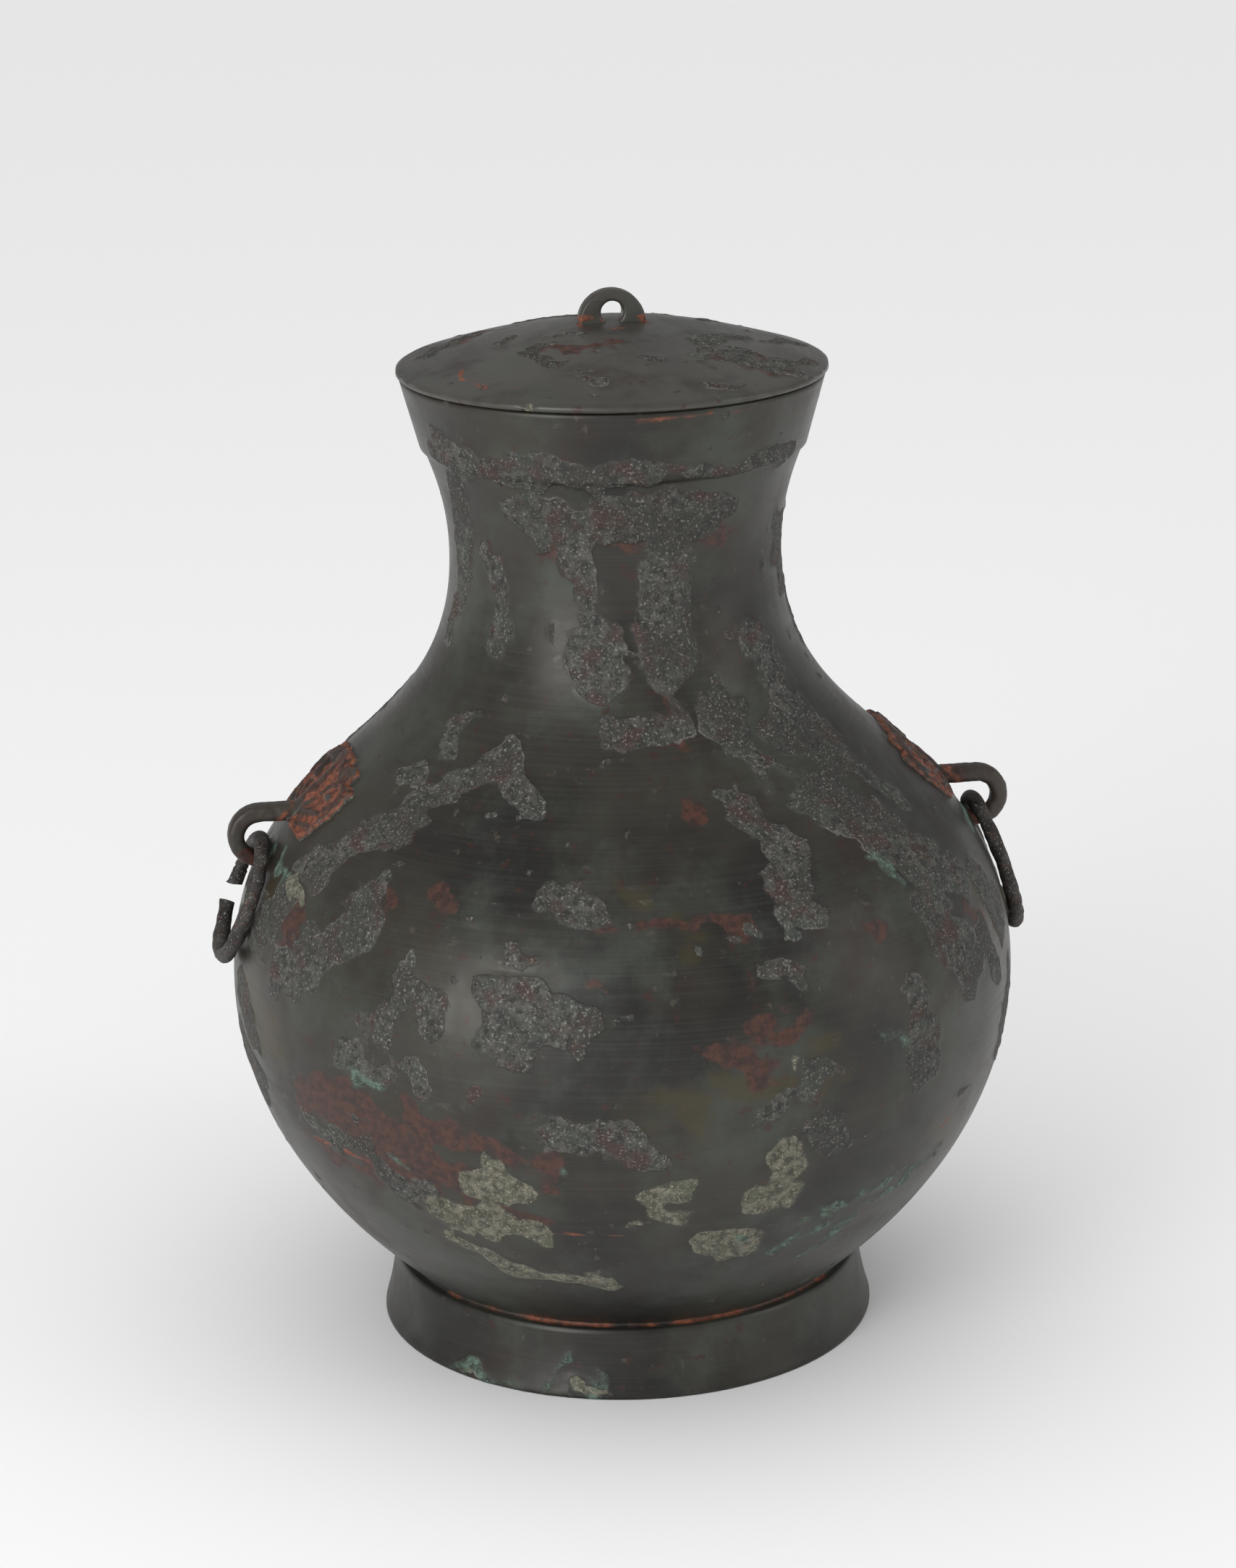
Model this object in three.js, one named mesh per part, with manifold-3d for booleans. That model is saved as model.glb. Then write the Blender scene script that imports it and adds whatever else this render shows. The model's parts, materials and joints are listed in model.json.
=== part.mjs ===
// Lidded bronze hu: a round ritual wine jar with a tall foot ring, two animal masks on the shoulder
// whose noses curl into loops, a free ring in each loop, and a shallow lid with a finger loop.
// The jar, its masks and its loops are one casting. The lid lifts off. The left ring is broken.
// Millimetres, +Z up, origin on the ground at the jar's axis, the two rings on the X axis.

import * as THREE from 'three';
import { mergeVertices } from 'three/addons/utils/BufferGeometryUtils.js';
import Module from 'manifold-3d';

const wasm = await Module();
wasm.setup();

// Foot ring
const footRadius = 99.5;
const footTopRadius = 94;
const footHeight = 27;
const footWall = 4;
const recessDepth = 21;

// Groove where the body meets the foot
const grooveDepth = 3.5;
const grooveHeight = 1.5;

// Body, neck and mouth
const bellyRadius = 154.6;
const bellyHeight = 146;
const neckRadius = 64.2;
const neckHeight = 315;
const bandRadius = 72.8;
const bandHeight = 357;
const bandStep = 1.6;
const mouthRadius = 81.5;
const mouthHeight = 385;
const wall = 2.4;
const lipWall = 4;
const floorThickness = 3;

// Lid
const seatGap = 0.3;
const lidOverhang = 1.2;
const lidRimHeight = 2.7;
const lidDomeRise = 16;
const lidWall = 2.6;
const flangeDepth = 10;
const flangeWall = 2;
const flangeClearance = 1;

// Finger loop on the lid
const fingerLoopRadius = 12.8;
const fingerLoopHeight = 12.4;
const fingerLoopThickness = 7.5;
const fingerHoleRadius = 4.3;
const fingerHoleHeight = 3.7;
const fingerLoopEdge = 1.2;

// Animal masks
const maskBottomHeight = 212.5;
const maskLength = 37;
const maskHalfWidth = 31.5;
const maskGround = 1.1;

// Loops that grow out of the masks' noses: each hole's middle lies below the mask and stands off the wall
const rightLoopDrop = 7.5;
const rightLoopStandoff = 7.9;
const leftLoopDrop = 5.3;
const leftLoopStandoff = 7.2;
const loopHoleRadius = 6.3;
const loopThickness = 7;
const loopWidth = 8.5;
const loopTipThickness = 5;
const loopTipWidth = 6.5;

// Rings
const rightRingRadius = 26.4;
const leftRingRadius = 24;
const ringWire = 3.05;
const ringWear = 0.05;
const ringClearance = 0.4;
const ringRestGap = 0.3;
const breakStartDegrees = 80;
const breakEndDegrees = 97;

// Fineness of the facets
const turnSegments = 44;
const ringStations = 28;
const barSides = 8;
const maskColumns = 26;
const maskRows = 20;
const domeRings = 5;

const degree = Math.PI / 180;

// Turns a closed three.js geometry into a solid, with its faces pointing out
function solidOf(geometry) {
  const bare = geometry.clone();
  bare.deleteAttribute('normal');
  bare.deleteAttribute('uv');
  const merged = mergeVertices(bare, 1e-4);
  const position = merged.attributes.position;
  const corners = [0, 1, 2].map(() => new THREE.Vector3());
  const triangles = [];
  let volume = 0;
  for (let first = 0; first < merged.index.count; first += 3) {
    const ids = [0, 1, 2].map((step) => merged.index.getX(first + step));
    const isSliver = ids[0] === ids[1] || ids[1] === ids[2] || ids[2] === ids[0];
    if (!isSliver) {
      ids.forEach((id, step) => corners[step].fromBufferAttribute(position, id));
      volume += corners[0].dot(corners[1].clone().cross(corners[2]));
      triangles.push(ids);
    }
  }
  const facingOut = volume > 0 ? triangles : triangles.map(([a, b, c]) => [a, c, b]);
  return new wasm.Manifold(new wasm.Mesh({
    numProp: 3,
    vertProperties: new Float32Array(position.array),
    triVerts: new Uint32Array(facingOut.flat()),
  }));
}

// Gives a solid back as a three.js geometry
function geometryOf(solid) {
  const mesh = solid.getMesh();
  const geometry = new THREE.BufferGeometry();
  geometry.setAttribute('position', new THREE.BufferAttribute(new Float32Array(mesh.vertProperties), 3));
  geometry.setIndex(new THREE.BufferAttribute(new Uint32Array(mesh.triVerts), 1));
  geometry.computeVertexNormals();
  return geometry;
}

// Turns a profile of radius and height about the jar's axis
function turned(profile) {
  return new THREE.LatheGeometry(profile, turnSegments).rotateX(Math.PI / 2);
}

const point = (radius, height) => new THREE.Vector2(radius, height);

// The jar's outline, from the ground up, as four curves
const grooveRadius = footTopRadius - grooveDepth;
const bodyBase = footHeight + grooveHeight;
const footCurve = new THREE.QuadraticBezierCurve(
  point(footRadius, 0),
  point(footTopRadius + 0.3 * (footRadius - footTopRadius), 0.4 * footHeight),
  point(footTopRadius, footHeight),
);
const lowerBelly = new THREE.CubicBezierCurve(
  point(grooveRadius, bodyBase),
  point(grooveRadius + 0.839 * (bellyRadius - grooveRadius), bodyBase + 0.377 * (bellyHeight - bodyBase)),
  point(bellyRadius, bodyBase + 0.76 * (bellyHeight - bodyBase)),
  point(bellyRadius, bellyHeight),
);
const shoulder = new THREE.CubicBezierCurve(
  point(bellyRadius, bellyHeight),
  point(bellyRadius, bellyHeight + 0.535 * (neckHeight - bellyHeight)),
  point(neckRadius, bellyHeight + 0.51 * (neckHeight - bellyHeight)),
  point(neckRadius, neckHeight),
);
const neck = new THREE.CubicBezierCurve(
  point(neckRadius, neckHeight),
  point(neckRadius, neckHeight + 0.45 * (bandHeight - neckHeight)),
  point(neckRadius + 0.51 * (bandRadius - neckRadius), neckHeight + 0.74 * (bandHeight - neckHeight)),
  point(bandRadius, bandHeight),
);

const outerProfile = [
  ...footCurve.getPoints(3),
  ...lowerBelly.getPoints(7),
  ...shoulder.getPoints(12).slice(1),
  ...neck.getPoints(4).slice(1),
  point(bandRadius + bandStep, bandHeight + 1),
  point(mouthRadius, mouthHeight),
];

// A curve of the outline moved inwards by the wall
function innerWall(curve, pieces) {
  const points = [];
  for (let step = 0; step <= pieces; step += 1) {
    const outside = curve.getPoint(step / pieces);
    const along = curve.getTangent(step / pieces);
    points.push(point(outside.x - wall * along.y, outside.y + wall * along.x));
  }
  return points;
}

const lipRadius = mouthRadius - lipWall;
const mouthFlare = (mouthRadius - bandRadius - bandStep) / (mouthHeight - bandHeight - 1);
const floorHeight = recessDepth + floorThickness;
const cavityOverrun = 5;
const cavityProfile = [
  point(0, floorHeight),
  point(grooveRadius - 3 * wall, floorHeight),
  ...innerWall(lowerBelly, 4),
  ...innerWall(shoulder, 8).slice(1),
  ...innerWall(neck, 3).slice(1),
  point(lipRadius, mouthHeight),
  point(lipRadius + mouthFlare * cavityOverrun, mouthHeight + cavityOverrun),
  point(0, mouthHeight + cavityOverrun),
];
const recessProfile = [
  point(0, -cavityOverrun),
  point(footRadius - footWall, -cavityOverrun),
  point(footRadius - footWall, 0),
  point(footTopRadius - footWall, recessDepth),
  point(0, recessDepth),
];

// Radius of the outline at a height
function radiusAt(height) {
  const above = outerProfile.findIndex((corner) => corner.y > height);
  const low = outerProfile[above - 1];
  const high = outerProfile[above];
  return low.x + (high.x - low.x) * (height - low.y) / (high.y - low.y);
}

// Distance of a point outside the jar from its outline
function distanceToJar(radius, height) {
  const target = new THREE.Vector3(radius, height, 0);
  const nearest = new THREE.Vector3();
  let distance = Infinity;
  for (let index = 1; index < outerProfile.length; index += 1) {
    const low = outerProfile[index - 1];
    const high = outerProfile[index];
    const side = new THREE.Line3(new THREE.Vector3(low.x, low.y, 0), new THREE.Vector3(high.x, high.y, 0));
    side.closestPointToPoint(target, true, nearest);
    distance = Math.min(distance, nearest.distanceTo(target));
  }
  return distance;
}

// How far along the shoulder, as a share of its length, a height lies
function shoulderShareAt(height) {
  let low = 0;
  let high = 1;
  for (let step = 0; step < 30; step += 1) {
    const middle = (low + high) / 2;
    if (shoulder.getPointAt(middle).y < height) {
      low = middle;
    } else {
      high = middle;
    }
  }
  return low;
}

// Carving of a mask. Each shape is mirrored about the nose: across is the distance from the nose and
// up the distance from the mask's lower edge, both along the shoulder and as in a mask 29 by 38.
const carvedBars = [
  { name: 'nose', from: [0, 17], to: [0, 2], half: 4.4, rise: 3.2 },
  { name: 'forehead', from: [0, 34], to: [0, 21], half: 4.6, rise: 2.7 },
  { name: 'crown lobe', from: [2, 33], to: [5, 32], half: 5.2, rise: 2.6 },
  { name: 'horn lobe', from: [12, 31], to: [17, 30], half: 4.4, rise: 2.9 },
  { name: 'cheek', from: [22, 12.5], to: [8.5, 8], half: 1.8, rise: 2.6 },
  { name: 'fang', from: [10.5, 15], to: [6.5, 11], half: 2.2, rise: 2.7 },
  { name: 'jaw', from: [22, 6], to: [7, 1.6], half: 1.9, rise: 2.5 },
];
const browRibbon = { across: 19.5, up: 20.5, radius: 6.6, half: 2, rise: 2.9, openingDegrees: [200, 300] };
const eyeBoss = { across: 17.8, up: 19.6, halfAcross: 3.4, halfUp: 2.6, rise: 2.6 };
const drawnHalfWidth = 29;
const drawnLength = 38;
const maskOutline = { crownHalf: 10, horn: 35.5, hornHalf: 21, brow: 29, footHalf: 24, taperTop: 14 };

function distanceToBar(across, up, bar) {
  const along = [bar.to[0] - bar.from[0], bar.to[1] - bar.from[1]];
  const offset = [across - bar.from[0], up - bar.from[1]];
  const share = (offset[0] * along[0] + offset[1] * along[1]) / (along[0] ** 2 + along[1] ** 2);
  const held = Math.min(Math.max(share, 0), 1);
  return Math.hypot(offset[0] - held * along[0], offset[1] - held * along[1]);
}

const rounded = (distance, half, rise) => rise * Math.sqrt(Math.max(0, 1 - (distance / half) ** 2));

// Distance inside the mask's stepped outline, negative outside
function insideMask(across, up) {
  const steps = [
    [maskOutline.crownHalf, drawnLength],
    [maskOutline.hornHalf, maskOutline.horn],
    [drawnHalfWidth, maskOutline.brow],
  ];
  const taper = Math.min(0, up / maskOutline.taperTop - 1) * (drawnHalfWidth - maskOutline.footHalf);
  const insides = steps.map(([half, top]) => Math.min(half + taper - across, top - up, up));
  return Math.max(...insides);
}

// Rise of the mask's surface above the jar
function maskRise(across, up) {
  const inside = insideMask(across, up);
  const ground = Math.min(maskGround, -1 + 1.6 * Math.max(0, inside + 0.8));
  if (inside < 0.4) {
    return ground;
  }
  let rise = ground;
  carvedBars.forEach((bar) => {
    rise = Math.max(rise, rounded(distanceToBar(across, up, bar), bar.half, bar.rise));
  });
  const ribbonOffset = [across - browRibbon.across, up - browRibbon.up];
  const around = (Math.atan2(ribbonOffset[1], ribbonOffset[0]) / degree + 360) % 360;
  if (around < browRibbon.openingDegrees[0] || around > browRibbon.openingDegrees[1]) {
    const distance = Math.abs(Math.hypot(...ribbonOffset) - browRibbon.radius);
    rise = Math.max(rise, rounded(distance, browRibbon.half, browRibbon.rise));
  }
  const eyeDistance = Math.hypot((across - eyeBoss.across) / eyeBoss.halfAcross,
    (up - eyeBoss.up) / eyeBoss.halfUp);
  return Math.max(rise, rounded(eyeDistance, 1, eyeBoss.rise));
}

// A mask as a plate on the shoulder, carved in front, with its back inside the wall
function maskGeometry() {
  const shoulderLength = shoulder.getLength();
  const bottomShare = shoulderShareAt(maskBottomHeight);
  const scaleAcross = maskHalfWidth / drawnHalfWidth;
  const scaleUp = maskLength / drawnLength;
  const margin = 1.5;
  const backDepth = -0.6 * wall;
  const positions = [];
  for (let side = 0; side < 2; side += 1) {
    for (let row = 0; row <= maskRows; row += 1) {
      const up = -margin + (drawnLength + 2 * margin) * row / maskRows;
      const share = bottomShare + up * scaleUp / shoulderLength;
      const onCurve = shoulder.getPointAt(share);
      const along = shoulder.getTangentAt(share);
      for (let column = 0; column <= maskColumns; column += 1) {
        const across = (drawnHalfWidth + margin) * (2 * column / maskColumns - 1);
        const rise = side === 0 ? maskRise(Math.abs(across), up) : backDepth;
        const azimuth = across * scaleAcross / onCurve.x;
        const radius = onCurve.x + rise * along.y;
        positions.push(radius * Math.cos(azimuth), radius * Math.sin(azimuth), onCurve.y - rise * along.x);
      }
    }
  }
  const corner = (side, row, column) => (side * (maskRows + 1) + row) * (maskColumns + 1) + column;
  const faces = [];
  const addQuad = (a, b, c, d) => faces.push(a, b, c, a, c, d);
  for (let row = 0; row < maskRows; row += 1) {
    for (let column = 0; column < maskColumns; column += 1) {
      const front = [[row, column], [row, column + 1], [row + 1, column + 1], [row + 1, column]];
      addQuad(...front.map(([r, c]) => corner(0, r, c)));
      addQuad(...front.reverse().map(([r, c]) => corner(1, r, c)));
    }
    addQuad(corner(0, row, 0), corner(0, row + 1, 0), corner(1, row + 1, 0), corner(1, row, 0));
    addQuad(corner(1, row, maskColumns), corner(1, row + 1, maskColumns),
      corner(0, row + 1, maskColumns), corner(0, row, maskColumns));
  }
  for (let column = 0; column < maskColumns; column += 1) {
    addQuad(corner(0, 0, column + 1), corner(0, 0, column), corner(1, 0, column), corner(1, 0, column + 1));
    addQuad(corner(0, maskRows, column), corner(0, maskRows, column + 1),
      corner(1, maskRows, column + 1), corner(1, maskRows, column));
  }
  const geometry = new THREE.BufferGeometry();
  geometry.setAttribute('position', new THREE.Float32BufferAttribute(positions, 3));
  geometry.setIndex(faces);
  return geometry;
}

// A bar of eight-sided section through a row of stations. Each station has its centre, its thickness
// direction and width direction, and its two half sizes. An open bar is closed flat at both ends.
function barGeometry(stations, isLoop) {
  const positions = [];
  stations.forEach((station) => {
    for (let side = 0; side < barSides; side += 1) {
      const angle = 2 * Math.PI * (side + 0.5) / barSides;
      const corner = station.centre.clone();
      corner.addScaledVector(station.thicknessAxis, station.halfThickness * Math.cos(angle));
      corner.addScaledVector(station.widthAxis, station.halfWidth * Math.sin(angle));
      positions.push(corner.x, corner.y, corner.z);
    }
  });
  const faces = [];
  const spans = isLoop ? stations.length : stations.length - 1;
  for (let span = 0; span < spans; span += 1) {
    const here = span * barSides;
    const next = ((span + 1) % stations.length) * barSides;
    for (let side = 0; side < barSides; side += 1) {
      const beside = (side + 1) % barSides;
      faces.push(here + side, next + side, next + beside);
      faces.push(here + side, next + beside, here + beside);
    }
  }
  if (!isLoop) {
    const last = (stations.length - 1) * barSides;
    for (let side = 1; side < barSides - 1; side += 1) {
      faces.push(0, side, side + 1);
      faces.push(last, last + side + 1, last + side);
    }
  }
  const geometry = new THREE.BufferGeometry();
  geometry.setAttribute('position', new THREE.Float32BufferAttribute(positions, 3));
  geometry.setIndex(faces);
  return geometry;
}

// The octagon's flats, not its corners, lie at the stated half sizes
const flatToCorner = 1 / Math.cos(Math.PI / barSides);

const thickestWire = ringWire * (1 + 2 * ringWear);

// Gaps between a hanging ring's wire and the jar, where it passes the loop and below the loop
function ringGaps(loop, ringRadius, tilt) {
  const gaps = { beside: Infinity, below: Infinity };
  for (let around = 0; around < 360; around += 10) {
    const drop = ringRadius * (1 - Math.cos(around * degree));
    const out = loop.radius + drop * Math.sin(tilt);
    const sideways = ringRadius * Math.sin(around * degree);
    const height = loop.pinHeight - drop * Math.cos(tilt);
    const gap = distanceToJar(Math.hypot(out, sideways), height) - thickestWire;
    const part = drop > 2 * loopHoleRadius ? 'below' : 'beside';
    gaps[part] = Math.min(gaps[part], gap);
  }
  return gaps;
}

// The angle at which a hanging ring comes to rest against the belly
function restingTilt(loop, ringRadius) {
  for (let degrees = 0; degrees < 60; degrees += 0.25) {
    if (ringGaps(loop, ringRadius, degrees * degree).below > ringRestGap) {
      return degrees * degree;
    }
  }
  return 0;
}

// Where a loop's hole has its middle, and where the wire of its ring turns. Where the belly bulges
// below it, the loop stands further out, until its ring hangs clear of the wall.
function loopPlace(drop, standoff, ringRadius) {
  const height = maskBottomHeight - drop;
  const wireRoom = thickestWire + ringClearance + loopWidth ** 2 / (8 * ringRadius);
  const loop = { height, radius: radiusAt(height) + standoff, pinHeight: height - loopHoleRadius + wireRoom };
  while (ringGaps(loop, ringRadius, restingTilt(loop, ringRadius)).beside < 0 && loop.radius < 2 * bellyRadius) {
    loop.radius += ringRestGap;
  }
  return loop;
}
const rightLoop = loopPlace(rightLoopDrop, rightLoopStandoff, rightRingRadius);
const leftLoop = loopPlace(leftLoopDrop, leftLoopStandoff, leftRingRadius);

// A nose loop: straight out of the mask, round the ring's hole and back into the wall with a slimmer tip
function noseLoopGeometry(loop) {
  const stations = [];
  const widthAxis = new THREE.Vector3(0, 1, 0);
  const addStation = (angle, inwards, share) => {
    const thickness = loopThickness + (loopTipThickness - loopThickness) * share;
    const width = loopWidth + (loopTipWidth - loopWidth) * share;
    const outward = new THREE.Vector3(Math.cos(angle), 0, Math.sin(angle));
    const centre = outward.clone().multiplyScalar(loopHoleRadius + thickness / 2);
    centre.add(new THREE.Vector3(loop.radius - inwards, 0, loop.height));
    stations.push({
      centre,
      thicknessAxis: outward,
      widthAxis,
      halfThickness: flatToCorner * thickness / 2,
      halfWidth: flatToCorner * width / 2,
    });
  };
  const rootHeight = loop.height + loopHoleRadius + loopThickness / 2;
  const rootReach = loop.radius - radiusAt(rootHeight) + wall / 2;
  addStation(Math.PI / 2, rootReach, 0);
  addStation(Math.PI / 2, rootReach / 2, 0);
  const arcSpans = 10;
  const arcDegrees = 205;
  for (let span = 0; span <= arcSpans; span += 1) {
    const share = span / arcSpans;
    addStation((90 - arcDegrees * share) * degree, 0, share * share);
  }
  return barGeometry(stations, false);
}

function addHandle(solid, loop, turn) {
  const mask = solidOf(maskGeometry().rotateZ(turn));
  const noseLoop = solidOf(noseLoopGeometry(loop).rotateZ(turn));
  return solid.add(mask).add(noseLoop);
}

// Jar with its masks and loops, hollow to its true wall
function vesselSolid() {
  const outside = solidOf(turned([point(0, 0), ...outerProfile, point(0, mouthHeight)]));
  const withHandles = addHandle(addHandle(outside, rightLoop, 0), leftLoop, Math.PI);
  const cavity = solidOf(turned(cavityProfile));
  const recess = solidOf(turned(recessProfile));
  return withHandles.subtract(cavity).subtract(recess);
}

// Lid: a shallow dome with a rim that laps over the mouth and a flange that drops into it
function lidSolid() {
  const seat = mouthHeight + seatGap;
  const rimRadius = mouthRadius + lidOverhang;
  const rimTop = seat + lidRimHeight;
  const crownHeight = rimTop + lidDomeRise;
  const dome = new THREE.CubicBezierCurve(
    point(rimRadius, rimTop),
    point(0.61 * rimRadius, rimTop + 0.65 * lidDomeRise),
    point(0.27 * rimRadius, crownHeight),
    point(0, crownHeight),
  );
  const flangeRadius = lipRadius - flangeClearance;
  const flangeFootRadius = flangeRadius - mouthFlare * flangeDepth;
  const flangeCorner = flangeRadius - flangeWall;
  const flangeFoot = seat - flangeDepth;
  const outside = [
    point(0, flangeFoot),
    point(flangeFootRadius, flangeFoot),
    point(flangeRadius, seat),
    point(rimRadius, seat),
    ...dome.getPoints(domeRings),
  ];
  const underDome = dome.getPoints(domeRings).map((top) => point(top.x, top.y - lidWall));
  const hollow = [
    point(0, flangeFoot - cavityOverrun),
    point(flangeFootRadius - flangeWall, flangeFoot - cavityOverrun),
    point(flangeFootRadius - flangeWall, flangeFoot),
    point(flangeCorner, seat + 1),
    ...underDome.filter((under) => under.x < flangeCorner - flangeWall),
  ];
  const plateFoot = fingerHoleHeight - fingerHoleRadius - 3 * fingerLoopEdge;
  const plate = new THREE.Shape();
  plate.moveTo(fingerLoopRadius, plateFoot);
  plate.lineTo(fingerLoopRadius, 0);
  plate.absellipse(0, 0, fingerLoopRadius, fingerLoopHeight, 0, Math.PI, false, 0);
  plate.lineTo(-fingerLoopRadius, plateFoot);
  const hole = new THREE.Path();
  hole.absarc(0, fingerHoleHeight, fingerHoleRadius, 0, 2 * Math.PI, true);
  plate.holes.push(hole);
  const fingerLoop = new THREE.ExtrudeGeometry(plate, {
    depth: fingerLoopThickness - 2 * fingerLoopEdge,
    bevelThickness: fingerLoopEdge,
    bevelSize: fingerLoopEdge,
    bevelOffset: -fingerLoopEdge,
    bevelSegments: 1,
    curveSegments: 10,
  });
  fingerLoop.translate(0, 0, -fingerLoopThickness / 2 + fingerLoopEdge);
  fingerLoop.rotateX(Math.PI / 2);
  fingerLoop.translate(0, 0, crownHeight);
  return solidOf(turned(outside)).add(solidOf(fingerLoop)).subtract(solidOf(turned(hollow)));
}

// A ring that hangs straight down from the origin in the YZ plane, with a worn, uneven wire
function ringGeometry(ringRadius, from, to) {
  const stations = [];
  const isLoop = to - from >= 360;
  const spans = Math.round(ringStations * (to - from) / 360);
  const count = isLoop ? spans : spans + 1;
  for (let index = 0; index < count; index += 1) {
    const around = (from + (to - from) * index / spans) * degree;
    const outward = new THREE.Vector3(0, Math.sin(around), Math.cos(around));
    const centre = outward.clone().multiplyScalar(ringRadius);
    centre.z -= ringRadius;
    const wear = Math.sin(3 * around + 1) + Math.sin(7 * around + 2);
    const half = flatToCorner * ringWire * (1 + ringWear * wear);
    stations.push({
      centre,
      thicknessAxis: outward,
      widthAxis: new THREE.Vector3(1, 0, 0),
      halfThickness: half,
      halfWidth: half,
    });
  }
  return barGeometry(stations, isLoop);
}

const smoothPatina = new THREE.MeshStandardMaterial({ color: 0x4b4844, roughness: 0.5, metalness: 0.7 });
const lidPatina = new THREE.MeshStandardMaterial({ color: 0x56534b, roughness: 0.55, metalness: 0.7 });
const ironGrey = new THREE.MeshStandardMaterial({ color: 0x2b2725, roughness: 0.75, metalness: 0.5 });

function named(name, geometry, material) {
  const mesh = new THREE.Mesh(geometry, material);
  mesh.name = name;
  return mesh;
}

const vessel = named('vessel', geometryOf(vesselSolid()), smoothPatina);
const lid = named('lid', geometryOf(lidSolid()), lidPatina);

const rightRing = named('ring_right', geometryOf(solidOf(ringGeometry(rightRingRadius, 0, 360))), ironGrey);
rightRing.position.set(rightLoop.radius, 0, rightLoop.pinHeight);
rightRing.rotation.y = -restingTilt(rightLoop, rightRingRadius);

const leftArc = ringGeometry(leftRingRadius, breakEndDegrees, 360 + breakStartDegrees);
const leftRing = named('ring_left', geometryOf(solidOf(leftArc)), ironGrey);
leftRing.position.set(-leftLoop.radius, 0, leftLoop.pinHeight);
leftRing.rotation.y = restingTilt(leftLoop, leftRingRadius);

const hu = new THREE.Group();
hu.add(vessel, lid, rightRing, leftRing);
export default hu;
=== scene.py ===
import json
import math
import random

import bpy
import numpy as np
from mathutils import Matrix, Vector, noise


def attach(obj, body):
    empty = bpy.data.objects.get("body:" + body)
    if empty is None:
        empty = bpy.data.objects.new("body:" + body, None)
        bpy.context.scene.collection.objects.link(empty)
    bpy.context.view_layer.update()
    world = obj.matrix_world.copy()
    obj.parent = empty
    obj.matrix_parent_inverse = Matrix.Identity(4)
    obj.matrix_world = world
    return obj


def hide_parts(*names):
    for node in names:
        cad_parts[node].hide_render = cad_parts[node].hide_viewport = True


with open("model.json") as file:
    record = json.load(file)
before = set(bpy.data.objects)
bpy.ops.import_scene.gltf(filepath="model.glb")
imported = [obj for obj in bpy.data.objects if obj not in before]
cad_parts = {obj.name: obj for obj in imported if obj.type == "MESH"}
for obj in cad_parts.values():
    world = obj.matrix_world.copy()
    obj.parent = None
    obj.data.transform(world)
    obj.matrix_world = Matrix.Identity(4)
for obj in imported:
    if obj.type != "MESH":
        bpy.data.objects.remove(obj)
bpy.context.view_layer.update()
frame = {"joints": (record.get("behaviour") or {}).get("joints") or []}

# Camera and studio: the jar stands on a pale floor in soft daylight, seen from slightly above.
# A large soft window stands at the front left, and the pale surroundings show at the jar's edges.
camera_place = (-0.2308, -1.4811, 0.688)
camera_heading = 8.84
camera_pitch = 17.37
camera_roll = -0.99
camera_lens = 91.4

bpy.ops.object.select_all(action="DESELECT")
bpy.ops.object.camera_add(location=camera_place)
camera = bpy.context.object
camera.name = "studio_camera"
turn = Matrix.Rotation(math.radians(-camera_heading), 4, "Z")
tip = Matrix.Rotation(math.radians(90 - camera_pitch), 4, "X")
roll = Matrix.Rotation(math.radians(camera_roll), 4, "Z")
camera.matrix_world = Matrix.Translation(camera_place) @ turn @ tip @ roll
camera.data.sensor_width = 36
camera.data.lens = camera_lens
camera.data.clip_end = 100
bpy.context.scene.camera = camera
bpy.context.scene.view_settings.view_transform = "Standard"


def linear(code):
    """A colour given as sRGB hex, in linear light."""
    parts = [int(code[start:start + 2], 16) / 255 for start in (1, 3, 5)]
    light = [part / 12.92 if part <= 0.04045 else ((part + 0.055) / 1.055) ** 2.4 for part in parts]
    return light + [1.0]


def add(tree, kind, inputs=None, **settings):
    """Adds a node with its settings. An input is a value, or the output it is linked from."""
    made = tree.nodes.new(kind)
    for key, value in settings.items():
        setattr(made, key, value)
    for key, value in (inputs or {}).items():
        if isinstance(value, bpy.types.NodeSocket):
            tree.links.new(value, made.inputs[key])
        else:
            made.inputs[key].default_value = value
    return made


bpy.ops.mesh.primitive_plane_add(size=40, location=(0, 0, 0))
floor = bpy.context.object
floor.name = "floor"
# Matt white paper: it keeps the light even and takes a soft shadow
paper = bpy.data.materials.new("matt white paper")
paper.use_nodes = True
sheet_finish = paper.node_tree.nodes["Principled BSDF"]
sheet_finish.inputs["Base Color"].default_value = linear("#ececec")
sheet_finish.inputs["Roughness"].default_value = 0.95
sheet_finish.inputs["Specular IOR Level"].default_value = 0.1
floor.data.materials.append(paper)

world = bpy.data.worlds.new("pale room")
world.use_nodes = True
world.node_tree.nodes["Background"].inputs["Color"].default_value = linear("#ebebec")
world.node_tree.nodes["Background"].inputs["Strength"].default_value = 0.4
bpy.context.scene.world = world

# name, place, width, height, strength; each points at the middle of the jar
lamps = (
    ("window_left", (-1.67, -1.86, 0.9), 1.15, 1.5, 33),
    ("window_right", (1.9, -0.9, 0.9), 0.5, 1.5, 6),
)
for name, place, width, height, strength in lamps:
    bpy.ops.object.light_add(type="AREA", location=place)
    lamp = bpy.context.object
    lamp.name = name
    lamp.data.shape = "RECTANGLE"
    lamp.data.size = width
    lamp.data.size_y = height
    lamp.data.energy = strength
    aim = Vector((0, 0, 0.2)) - Vector(place)
    lamp.rotation_mode = "QUATERNION"
    lamp.rotation_quaternion = aim.to_track_quat("-Z", "Y")
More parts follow.
